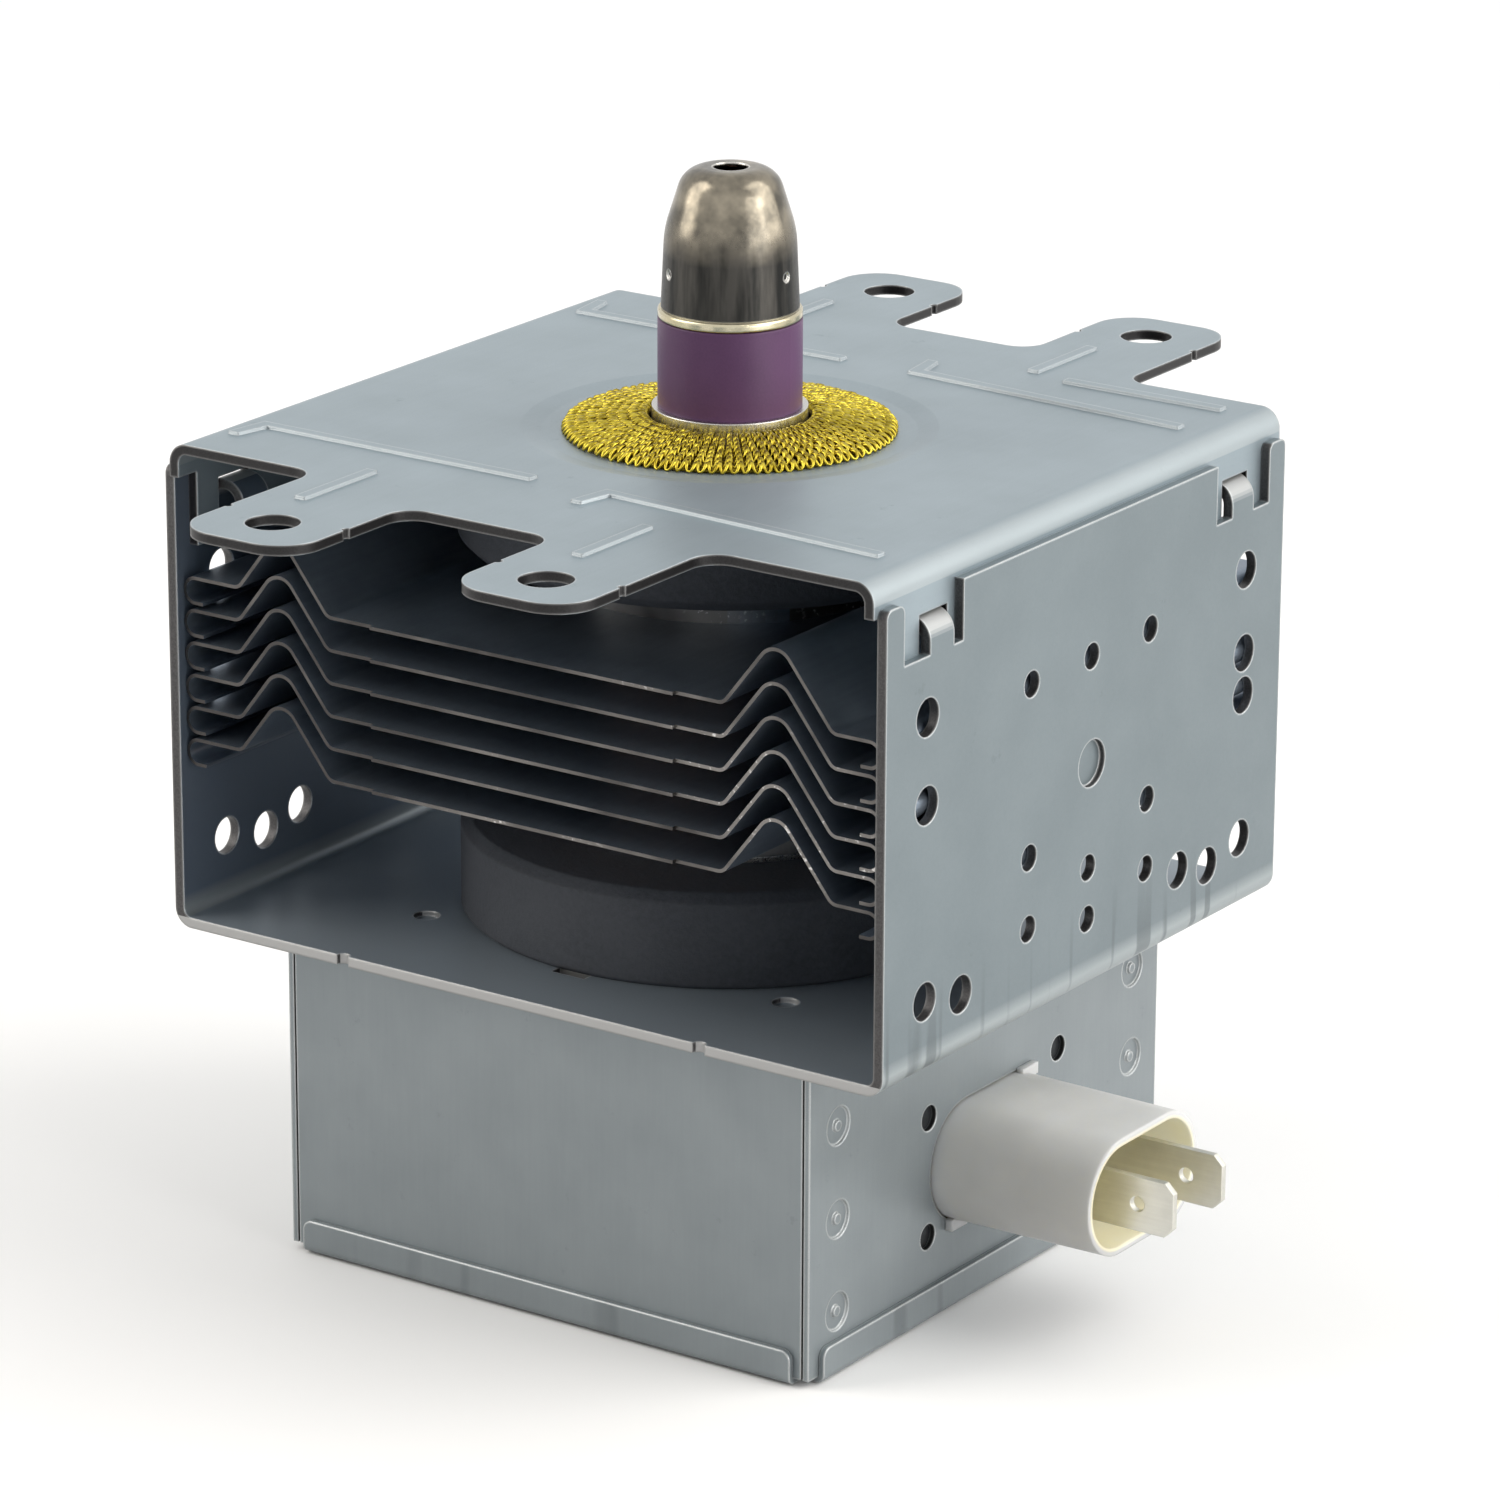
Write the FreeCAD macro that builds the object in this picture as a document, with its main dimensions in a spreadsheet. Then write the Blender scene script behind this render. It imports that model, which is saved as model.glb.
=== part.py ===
import FreeCAD, Part
import Sketcher
import math
import os

# Magnetron of a microwave oven: a folded steel yoke that holds two ring magnets, the vacuum tube
# between them, six aluminium fins on the tube, and the filter box with its connector underneath.
# The origin is on the antenna's axis, at the underside of the filter box's lid. +Z is the antenna,
# -Y the open side of the yoke where the fins show, +X the wall above the connector. Millimetres.

doc = FreeCAD.newDocument("magnetron")

dimensions = [
    # Sheet metal
    ("yoke_sheet", 1.2, "steel sheet of the yoke and of the top plate"),
    ("bend_inside", 1.0, "inside radius of the yoke's bends"),
    ("yoke_width", 96.0, "over the two side walls"),
    ("yoke_depth", 81.4, "front edge to back edge"),
    ("plate_rise", 57.2, "underside of the yoke to the top of the plate"),
    ("wall_drop", 3.0, "top of the plate down to the top of the walls"),
    ("plate_depth", 82.8, "front edge to back edge of the plate at its corners"),
    ("plate_bend", 2.4, "outside radius of the plate's bends"),
    ("flange_depth", 12.6, "height of the plate's side flanges"),
    ("flange_stub", 4.0, "height of the flanges at their cut-back ends"),
    ("flange_cutback", 3.2, "length of the cut-back at each end"),
    # Mounting tabs
    ("tab_spacing_x", 36.0, "between mounting holes, side to side"),
    ("tab_spacing_y", 119.0, "between mounting holes, front to back"),
    ("tab_width", 16.0, "width of a mounting tab"),
    ("tab_end", 7.3, "mounting hole to the end of its tab"),
    ("tab_hole", 6.0, "diameter of a mounting hole"),
    ("tab_corner", 5.0, "outer corner radius of a tab"),
    ("tab_root", 3.2, "inner corner radius beside a tab"),
    ("bridge_depth", 46.8, "edge of the plate between two tabs, from the axis"),
    ("tab_nick", 0.5, "radius of the die nicks on the sides of a tab"),
    ("tab_nick_back", 2.4, "hole to nick, towards the plate"),
    # Pressed ribs and the seat of the gasket
    ("rib_height", 0.35, "how far a pressed rib stands proud"),
    ("rib_width", 1.4, "width of a pressed rib"),
    ("rib_line", 30.3, "long ribs, from the axis"),
    ("rib_leg", 4.8, "length of the short leg of a rib"),
    ("rib_end", 41.9, "outer end of the long ribs"),
    ("rib_mid", 5.0, "inner end of the long ribs"),
    ("rib_slant", 2.4, "how far the right-hand ribs lean over their length"),
    ("rib_far", 37.0, "short rib behind the back right one, from the axis"),
    ("tab_rib_left", 21.0, "rib at the root of the left tabs, from the axis"),
    ("tab_rib_right", 15.8, "rib at the root of the right tabs, from the axis"),
    ("tab_rib_start", 38.2, "inner end of a tab rib"),
    ("tab_rib_end", 51.0, "outer end of a tab rib"),
    ("seat_depth", 0.4, "depth of the pressed seat for the gasket"),
    ("seat_flat", 21.0, "radius of the flat of the seat"),
    ("seat_rim", 23.4, "radius where the seat meets the plate"),
    ("plate_hole", 9.6, "radius of the hole for the output seal"),
    # Clinched tongues
    ("notch_inner", 26.0, "inner end of a wall notch, from the axis"),
    ("notch_outer", 37.3, "outer end of a wall notch, from the axis"),
    ("notch_drop", 9.8, "top of the plate down to the floor of a notch"),
    ("tongue_width", 4.6, "width of a clinched tongue"),
    ("tongue_shift", 1.6, "front tongue to the middle of its notch"),
    ("tongue_drop", 5.8, "top of the plate down to the top of a tongue"),
    ("tongue_bend", 1.4, "inside radius of a tongue's hook"),
    ("tongue_land", 0.4, "flat on the top of a tongue's hook"),
    ("tongue_hang", 3.8, "top of a tongue down to its tip inside the flange"),
    ("window_gap", 0.25, "flange window to the tongue"),
    ("window_margin", 0.4, "side of a tongue to the side of its window"),
    # Holes of the side walls
    ("vent_small", 3.0, "diameter of the small wall holes"),
    ("vent_large", 4.3, "diameter of the large wall holes"),
    ("vent_column", 12.2, "columns of small holes, from the middle"),
    ("edge_column", 32.7, "columns of large holes, from the middle"),
    ("inner_column", 25.6, "large holes beside the low corners, from the middle"),
    ("lone_column", 19.2, "lone large hole of the low row, from the middle"),
    ("row_high", 18.3, "top of the plate down to the high row of small holes"),
    ("row_middle", 38.1, "top of the plate down to the middle row of small holes"),
    ("row_low", 46.3, "top of the plate down to the low row of small holes"),
    ("centre_middle", 42.7, "top of the plate down to the upper of the two middle holes"),
    ("centre_low", 48.7, "top of the plate down to the lower of the two middle holes"),
    ("edge_high", 16.6, "top of the plate down to the high large holes"),
    ("edge_middle", 26.4, "top of the plate down to the middle large holes"),
    ("edge_extra", 31.4, "top of the plate down to the extra large hole of one column"),
    ("edge_low", 48.5, "top of the plate down to the low large holes"),
    ("inner_low", 49.8, "top of the plate down to the holes beside the low corners"),
    ("pip_width", 5.4, "diameter of the half-sheared pip"),
    ("pip_depth", 0.7, "depth of the half-sheared pip"),
    ("pip_side", 0.4, "pip to the middle of its wall"),
    ("pip_drop", 30.7, "top of the plate down to the pip"),
    ("post_corner", 1.0, "rounding of the posts beside the notches"),
    ("edge_nick", 0.8, "radius of the nicks in the floor's edges"),
    ("edge_nick_x", 24.2, "nicks in the floor's edges, from the middle"),
    ("stake_place", 24.6, "stakes of the box in the floor, from each middle line"),
    ("stake_width", 3.0, "diameter of a stake"),
    ("stake_depth", 0.6, "depth of the dimple in a stake"),
    ("slot_length", 4.4, "locating slots at the lower magnet's edge"),
    ("slot_width", 1.6, "width of a locating slot"),
    # Magnets and the tube's shell
    ("magnet_radius", 30.5, "outer radius of a ring magnet"),
    ("magnet_bore", 12.2, "bore radius of a ring magnet"),
    ("magnet_thick", 11.0, "thickness of a ring magnet"),
    ("magnet_chamfer", 1.1, "chamfer of a ring magnet's edge that faces the fins"),
    ("magnet_foot", 0.4, "chamfer of a ring magnet's edge that bears on the steel"),
    ("anode_radius", 19.5, "outer radius of the anode shell"),
    ("anode_wall", 2.3, "wall of the anode shell"),
    ("pole_thick", 1.6, "thickness of a pole piece"),
    ("pole_bore", 4.7, "bore radius of a pole piece"),
    ("pole_tip", 9.0, "outer radius of the flat nose of a pole piece"),
    ("pole_shoulder", 13.5, "radius where a pole piece's cone meets its rim"),
    ("pole_gap", 1.75, "nose of a pole piece to the vanes"),
    ("seal_wall", 0.6, "wall of the two seal cups"),
    ("seal_radius", 11.0, "outer radius of the seal cups inside the magnets"),
    ("neck_radius", 8.75, "outer radius of the seal cups at the ceramics"),
    # Vanes, straps and cathode
    ("vane_tip", 4.6, "radius of the vane tips"),
    ("vane_height", 9.5, "height of a vane"),
    ("vane_thick", 1.9, "thickness of a vane"),
    ("strap_inner", 6.0, "inner radius of the inner strap ring"),
    ("strap_thick", 0.8, "radial thickness of a strap ring"),
    ("strap_height", 1.0, "height of a strap ring"),
    ("strap_space", 1.1, "gap between the two strap rings of an end"),
    ("groove_margin", 0.15, "clearance beside a strap ring where it is brazed to a vane"),
    ("groove_clear", 0.4, "clearance of a strap ring in a groove that it doesn't touch"),
    ("filament_radius", 1.9, "middle radius of the filament"),
    ("filament_wire", 0.55, "thickness of the filament wire"),
    ("filament_pitch", 1.3, "pitch of the filament"),
    ("hat_radius", 3.6, "radius of an end hat"),
    ("hat_thick", 1.3, "thickness of an end hat"),
    ("hat_bore", 1.0, "bore radius of the lower end hat"),
    ("lead_radius", 0.75, "radius of the cathode leads"),
    ("lead_place", 2.8, "leads at the stem, from the axis"),
    # Antenna
    ("ceramic_radius", 8.1, "outer radius of the output ceramic"),
    ("ceramic_bore", 5.6, "bore radius of the output ceramic"),
    ("ceramic_start", 2.5, "top of the plate to the foot of the output ceramic"),
    ("ceramic_height", 10.1, "height of the output ceramic"),
    ("ring_height", 1.1, "height of the bright ring over the ceramic"),
    ("cap_radius", 7.75, "radius of the antenna cap at its foot"),
    ("cap_shoulder", 7.35, "radius of the antenna cap at its shoulder"),
    ("cap_top_radius", 5.15, "radius where the dome meets the flat top"),
    ("cap_hole", 2.0, "radius of the hole in the cap"),
    ("cap_wall", 0.5, "sheet of the antenna cap"),
    ("cap_height", 29.6, "top of the plate to the top of the cap"),
    ("cap_shoulder_rise", 22.6, "top of the plate to the shoulder of the cap"),
    ("cap_dome", 3.0, "rounding where the dome meets the flat top"),
    ("crimp_rise", 18.1, "top of the plate to the crimp marks in the cap"),
    ("crimp_width", 1.0, "diameter of a crimp mark"),
    ("crimp_depth", 0.25, "depth of a crimp mark"),
    ("exhaust_radius", 4.0, "radius of the copper exhaust tube"),
    ("exhaust_wall", 0.9, "wall of the exhaust tube"),
    ("exhaust_rise", 24.5, "top of the plate to the pinched end"),
    ("antenna_rod", 1.2, "radius of the antenna lead"),
    ("antenna_foot", 10.6, "foot of the antenna lead on its vane, from the axis"),
    ("gasket_radius", 19.0, "outer radius of the knitted gasket"),
    ("gasket_bore", 8.85, "bore radius of the knitted gasket"),
    ("gasket_edge", 0.65, "gasket above the plate at its outer edge"),
    ("gasket_crown", 1.9, "gasket above the plate at its bore"),
    ("gasket_rows", 8, "knitted rows of the gasket"),
    ("gasket_groove", 0.35, "depth of the grooves between the knitted rows"),
    # Fins
    ("fin_count", 6, "number of fins"),
    ("fin_sheet", 0.4, "aluminium sheet of a fin"),
    ("fin_pitch", 3.8, "from one fin to the next"),
    ("fin_top", 17.0, "top of the plate down to the first fin's flat"),
    ("fin_depth", 79.0, "front edge to back edge of a fin"),
    ("fin_setback", 0.5, "outer part of a fin's edge behind its middle part"),
    ("fin_middle", 20.3, "half width of the middle part of a fin's edge"),
    ("fin_flat", 26.5, "half width of a fin's flat"),
    ("fin_peak", 33.2, "peak of a fin, from the middle"),
    ("fin_lift", 1.2, "outer flat of the left side above the middle flat"),
    ("fin_drop", 0.8, "outer flat of the right side below the middle flat"),
    ("fin_slope", 51.8, "slope of a fin's ridge, in degrees"),
    ("crest_radius", 2.4, "outside radius of the peak"),
    ("fin_bend", 1.2, "inside radius of the bends at the ridge's feet"),
    ("curl_height", 3.3, "height of the curl at a fin's end"),
    ("curl_bend", 1.6, "outside radius of the curl"),
    ("curl_tip", 2.7, "length of the curl's lower side"),
    ("collar_height", 2.5, "height of a fin's collar on the anode"),
    ("press_gap", 0.05, "gap of round press fits"),
    # Filter box
    ("box_height", 38.0, "underside of the lid to the underside of the yoke"),
    ("box_width", 71.2, "over the two connector-side walls"),
    ("box_depth", 72.0, "front wall to back wall"),
    ("box_sheet", 0.7, "sheet of the box and of its lid"),
    ("seam_gap", 0.25, "gap of the folded corners"),
    ("seam_top", 1.5, "top of the box down to the relief holes"),
    ("seam_hole", 0.6, "radius of the relief holes"),
    ("corner_flange", 9.5, "width of the flanges folded behind the side walls"),
    ("clinch_place", 30.4, "clinch buttons, from the middle"),
    ("clinch_pitch", 10.9, "from one clinch button to the next"),
    ("clinch_first", 7.2, "lowest clinch button above the lid's underside"),
    ("clinch_width", 4.4, "diameter of a clinch button"),
    ("clinch_depth", 0.35, "depth of a clinch button"),
    ("lip_height", 4.0, "height of the lid's lips"),
    ("lip_short", 2.0, "corner of the box to the end of a lip"),
    ("lip_bend", 0.9, "outside radius of the lips' bends"),
    ("lip_corner", 1.2, "corner radius of a lip"),
    # Connector and the parts inside the box
    ("plug_height", 17.0, "middle of the connector above the lid's underside"),
    ("plug_width", 23.4, "width of the shroud at the wall"),
    ("plug_tall", 14.0, "height of the shroud at the wall"),
    ("plug_length", 20.4, "length of the shroud outside the wall"),
    ("plug_draft", 0.5, "draft of the shroud, in degrees"),
    ("plug_wall", 0.9, "wall of the shroud"),
    ("plug_floor", 1.6, "floor of the shroud outside the wall"),
    ("plug_gap", 0.2, "gap round the shroud in the wall"),
    ("ear_reach", 0.45, "how far the snap ears overhang the wall"),
    ("ear_length", 3.2, "length of a snap ear"),
    ("ear_thick", 0.9, "thickness of a snap ear"),
    ("ear_place", 7.2, "snap ears, from the middle of the connector"),
    ("plug_hole_y", 13.4, "small holes round the connector, sideways"),
    ("plug_hole_z", 7.1, "small holes round the connector, up and down"),
    ("plug_hole_shift", 1.1, "small holes moved back from the connector's middle"),
    ("plug_hole_width", 3.0, "diameter of the small holes round the connector"),
    ("earth_width", 32.4, "width of the capacitor's earth plate"),
    ("earth_tall", 20.4, "height of the capacitor's earth plate"),
    ("earth_sheet", 0.8, "thickness of the earth plate"),
    ("shoulder_thick", 1.8, "thickness of the housing's shoulder behind the earth plate"),
    ("cup_depth", 9.0, "depth of the capacitor cup behind the shoulder"),
    ("capacitor_thick", 6.5, "thickness of the capacitor ceramic"),
    ("blade_place", 5.2, "terminal blades, from the middle of the connector"),
    ("blade_tall", 6.35, "height of a terminal blade"),
    ("blade_sheet", 0.8, "thickness of a terminal blade"),
    ("blade_reach", 27.7, "tip of a blade outside the wall"),
    ("blade_chamfer", 1.1, "chamfer of a blade's tip"),
    ("blade_hole", 1.8, "diameter of the hole in a blade"),
    ("blade_hole_back", 4.6, "hole to the tip of a blade"),
    ("lug_tall", 3.0, "height of a blade's inner lug"),
    ("lug_length", 5.0, "length of a blade's inner lug"),
    ("stem_radius", 8.1, "radius of the stem ceramic"),
    ("stem_height", 7.5, "height of the stem ceramic"),
    ("stem_neck", 5.0, "neck of the input seal below the yoke"),
    ("choke_place", 14.0, "axis of a choke, from the middle"),
    ("choke_radius", 3.3, "middle radius of a choke coil"),
    ("choke_wire", 0.7, "radius of the choke wire"),
    ("choke_turns", 7.75, "turns of a choke coil"),
    ("choke_length", 24.0, "length of a choke coil"),
    ("choke_start", 13.0, "end of the coil away from the connector, from the middle"),
    ("choke_bend", 2.4, "bend of the choke's leads"),
    ("lug_back", 3.3, "choke lead to the end of its lug"),
    ("core_radius", 2.4, "radius of a ferrite core"),
    ("core_length", 21.0, "length of a ferrite core"),
    ("core_inset", 1.5, "end of a coil to the end of its core"),
]

sheet = doc.addObject("Spreadsheet::Sheet", "sizes")
for row, (alias, amount, note) in enumerate(dimensions, start=1):
    sheet.set("A%d" % row, alias)
    sheet.set("B%d" % row, str(amount))
    sheet.set("C%d" % row, note)
    sheet.setAlias("B%d" % row, alias)
doc.recompute()


# A size carries its value together with the sheet expression that gives it, so that one line of
# arithmetic both places the first guess of a sketch and binds the model to the sheet.
class Size:
    def __init__(self, value, text):
        self.value = float(value)
        self.text = text

    def __add__(self, other):
        other = asSize(other)
        return Size(self.value + other.value, "(%s + %s)" % (self.text, other.text))

    def __radd__(self, other):
        return asSize(other) + self

    def __sub__(self, other):
        other = asSize(other)
        return Size(self.value - other.value, "(%s - %s)" % (self.text, other.text))

    def __rsub__(self, other):
        return asSize(other) - self

    def __mul__(self, other):
        other = asSize(other)
        return Size(self.value * other.value, "(%s * %s)" % (self.text, other.text))

    def __rmul__(self, other):
        return asSize(other) * self

    def __truediv__(self, other):
        other = asSize(other)
        return Size(self.value / other.value, "(%s / %s)" % (self.text, other.text))

    def __neg__(self):
        return asSize(0) - self

    def __float__(self):
        return self.value


class Sizes:
    def __getattr__(self, alias):
        return Size(sheet.get(alias), "sizes." + alias)


def asSize(number):
    if isinstance(number, Size):
        return number
    return Size(number, "(0 - %r)" % -float(number) if number < 0 else "%r" % float(number))


def bind(thing, path, size):
    thing.setExpression(path, asSize(size).text)


S = Sizes()
nodes = {}


def keep(label, thing):
    thing.Label = label
    nodes[label] = thing
    return thing


def vector(point):
    return FreeCAD.Vector(*[float(asSize(part)) for part in point])


# Sketches

def newBody(label):
    return doc.addObject("PartDesign::Body", label)


def sketchOn(body, role, name, offset=None):
    sketch = body.newObject("Sketcher::SketchObject", name)
    plane = [item for item in body.Origin.OriginFeatures if item.Role == role][0]
    sketch.AttachmentSupport = [(plane, "")]
    sketch.MapMode = "FlatFace"
    if offset is not None:
        bind(sketch, "AttachmentOffset.Base.z", offset)
    return sketch


def constrain(sketch, rules):
    # adds constraints together and binds those that come with a size
    start = sketch.ConstraintCount
    sketch.addConstraint([rule for rule, size in rules])
    for index, (rule, size) in enumerate(rules, start=start):
        if size is not None:
            bind(sketch, "Constraints[%d]" % index, size)


def placed(geometry, end, x, y):
    x, y = asSize(x), asSize(y)
    return [(Sketcher.Constraint("DistanceX", -1, 1, geometry, end, x.value), x),
            (Sketcher.Constraint("DistanceY", -1, 1, geometry, end, y.value), y)]


def joined(kind, *ends):
    return (Sketcher.Constraint(kind, *ends), None)


def rounded(geometry, radius):
    return (Sketcher.Constraint("Radius", geometry, radius.value), radius)


def circle(sketch, x, y, radius):
    x, y, radius = asSize(x), asSize(y), asSize(radius)
    centre = FreeCAD.Vector(x.value, y.value, 0)
    index = sketch.addGeometry(Part.Circle(centre, FreeCAD.Vector(0, 0, 1), radius.value))
    constrain(sketch, placed(index, 3, x, y) + [rounded(index, radius)])


def cornerArc(before, corner, after, radius):
    # the arc that rounds a corner, its two tangent points, and whether it runs the outline's way
    back = (before - corner).normalize()
    ahead = (after - corner).normalize()
    half = back.getAngle(ahead) / 2
    start = corner + back * (radius / math.tan(half))
    end = corner + ahead * (radius / math.tan(half))
    centre = corner + (back + ahead).normalize() * (radius / math.sin(half))
    leftTurn = back.cross(ahead).z < 0
    first, last = (start, end) if leftTurn else (end, start)
    angles = [math.atan2(point.y - centre.y, point.x - centre.x) for point in (first, last)]
    ring = Part.Circle(centre, FreeCAD.Vector(0, 0, 1), radius)
    return Part.ArcOfCircle(ring, angles[0], angles[1]), start, end, leftTurn


def outline(sketch, corners, closed=True):
    # straight runs between corners (x, y) or (x, y, radius), with the round ones as tangent arcs
    corners = [tuple(asSize(part) for part in corner) for corner in corners]
    points = [FreeCAD.Vector(corner[0].value, corner[1].value, 0) for corner in corners]
    count = len(points)
    starts, ends, arcs, rules = list(points), list(points), {}, []
    for i, corner in enumerate(corners):
        if len(corner) == 3:
            neighbours = points[i - 1], points[i], points[(i + 1) % count]
            arc, starts[i], ends[i], leftTurn = cornerArc(*neighbours, corner[2].value)
            arcs[i] = (sketch.addGeometry(arc), leftTurn)
    runs = count if closed else count - 1
    lines = [sketch.addGeometry(Part.LineSegment(ends[i], starts[(i + 1) % count])) for i in range(runs)]
    for i, corner in enumerate(corners):
        arriving = lines[i - 1] if closed or i > 0 else None
        leaving = lines[i] if i < runs else None
        if i in arcs:
            arc, leftTurn = arcs[i]
            first, last = (1, 2) if leftTurn else (2, 1)
            mark = sketch.addGeometry(Part.Point(points[i]), True)
            rules += [joined("Tangent", arriving, 2, arc, first),
                      joined("Tangent", arc, last, leaving, 1), rounded(arc, corner[2])]
            rules += placed(mark, 1, corner[0], corner[1])
            rules += [joined("PointOnObject", mark, 1, arriving),
                      joined("PointOnObject", mark, 1, leaving)]
            continue
        if arriving is not None and leaving is not None:
            rules.append(joined("Coincident", arriving, 2, leaving, 1))
        if leaving is not None:
            rules += placed(leaving, 1, corner[0], corner[1])
        else:
            rules += placed(arriving, 2, corner[0], corner[1])
    constrain(sketch, rules)


def rectangle(sketch, left, bottom, right, top, radius=None):
    corners = [(left, bottom), (right, bottom), (right, top), (left, top)]
    if radius is not None:
        corners = [corner + (radius,) for corner in corners]
    outline(sketch, corners)


def stadium(sketch, x, y, width, height):
    # a round-ended oval, wider than high, its ends all but half circles
    radius = height * 0.499
    rectangle(sketch, x - width / 2, y - height / 2, x + width / 2, y + height / 2, radius)


# Features

def grow(body, kind, sketch, name, length=None, middle=False, flip=False, taper=None):
    doc.recompute()
    before = 0 if body.Shape.isNull() else body.Shape.Volume
    feature = body.newObject("PartDesign::" + kind, name)
    feature.Profile = sketch
    if length is None:
        feature.Type = "ThroughAll"
    else:
        bind(feature, "Length", length)
    feature.SideType = "Symmetric" if middle else "One side"
    feature.Reversed = flip
    if taper is not None:
        bind(feature, "TaperAngle", taper)
    body.Tip = feature
    doc.recompute()
    changed = body.Shape.Volume - before
    if (changed > 0) != (kind == "Pad") or abs(changed) < 1e-6:
        raise ValueError("%s changes nothing that way" % name)
    return feature


def pad(body, sketch, name, length, **options):
    return grow(body, "Pad", sketch, name, length, **options)


def pocket(body, sketch, name, length=None, **options):
    return grow(body, "Pocket", sketch, name, length, **options)


def turn(body, sketch, name):
    feature = body.newObject("PartDesign::Revolution", name)
    feature.Profile = sketch
    feature.ReferenceAxis = (sketch, ["V_Axis"])
    feature.Angle = 360
    body.Tip = feature
    doc.recompute()
    return feature


def turned(label, corners):
    # a piece turned about the antenna's axis from its section (radius, height)
    body = newBody(label)
    section = sketchOn(body, "XZ_Plane", label + "_section")
    outline(section, corners)
    turn(body, section, label + "_turn")
    return keep(label, body)


def around(body, features, name, copies):
    pattern = body.newObject("PartDesign::PolarPattern", name)
    axis = [item for item in body.Origin.OriginFeatures if item.Role == "Z_Axis"][0]
    pattern.Originals = features
    pattern.Axis = (axis, [""])
    pattern.Angle = 360
    pattern.Occurrences = copies
    body.Tip = pattern
    doc.recompute()
    return pattern


def roundEdges(body, name, radius, points, kind="Fillet"):
    # rounds the edges that pass through the given points
    doc.recompute()
    last = body.Tip
    shape = last.Shape
    chosen = set()
    for point in points:
        spot = Part.Vertex(vector(point))
        gaps = [edge.distToShape(spot)[0] for edge in shape.Edges]
        chosen.add("Edge%d" % (gaps.index(min(gaps)) + 1))
    feature = body.newObject("PartDesign::" + kind, name)
    feature.Base = (last, sorted(chosen))
    bind(feature, "Radius" if kind == "Fillet" else "Size", radius)
    body.Tip = feature
    doc.recompute()
    return feature


# Levels up the antenna's axis that several pieces share

yokeUnder = S.box_height
floorTop = yokeUnder + S.yoke_sheet
plateTop = yokeUnder + S.plate_rise
plateUnder = plateTop - S.yoke_sheet
wallTop = plateTop - S.wall_drop
wallInside = S.yoke_width / 2 - S.yoke_sheet
seatTop = plateTop - S.seat_depth
lowMagnetTop = floorTop + S.magnet_thick
highMagnetTop = seatTop - S.yoke_sheet
highMagnetUnder = highMagnetTop - S.magnet_thick
tubeMiddle = (lowMagnetTop + highMagnetUnder) / 2
shellLow = lowMagnetTop + S.seal_wall + S.pole_thick
shellHigh = highMagnetUnder - S.seal_wall - S.pole_thick
vaneTop = tubeMiddle + S.vane_height / 2
vaneUnder = tubeMiddle - S.vane_height / 2
sealHole = S.magnet_bore


# Yoke: one sheet folded to a U, with clinched tongues at the ends of its side walls

def tongueMiddle(y):
    # the front tongue stands a little nearer to the middle of its wall
    return y * (S.notch_inner + S.notch_outer) / 2 + (S.tongue_shift if y < 0 else 0)


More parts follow.
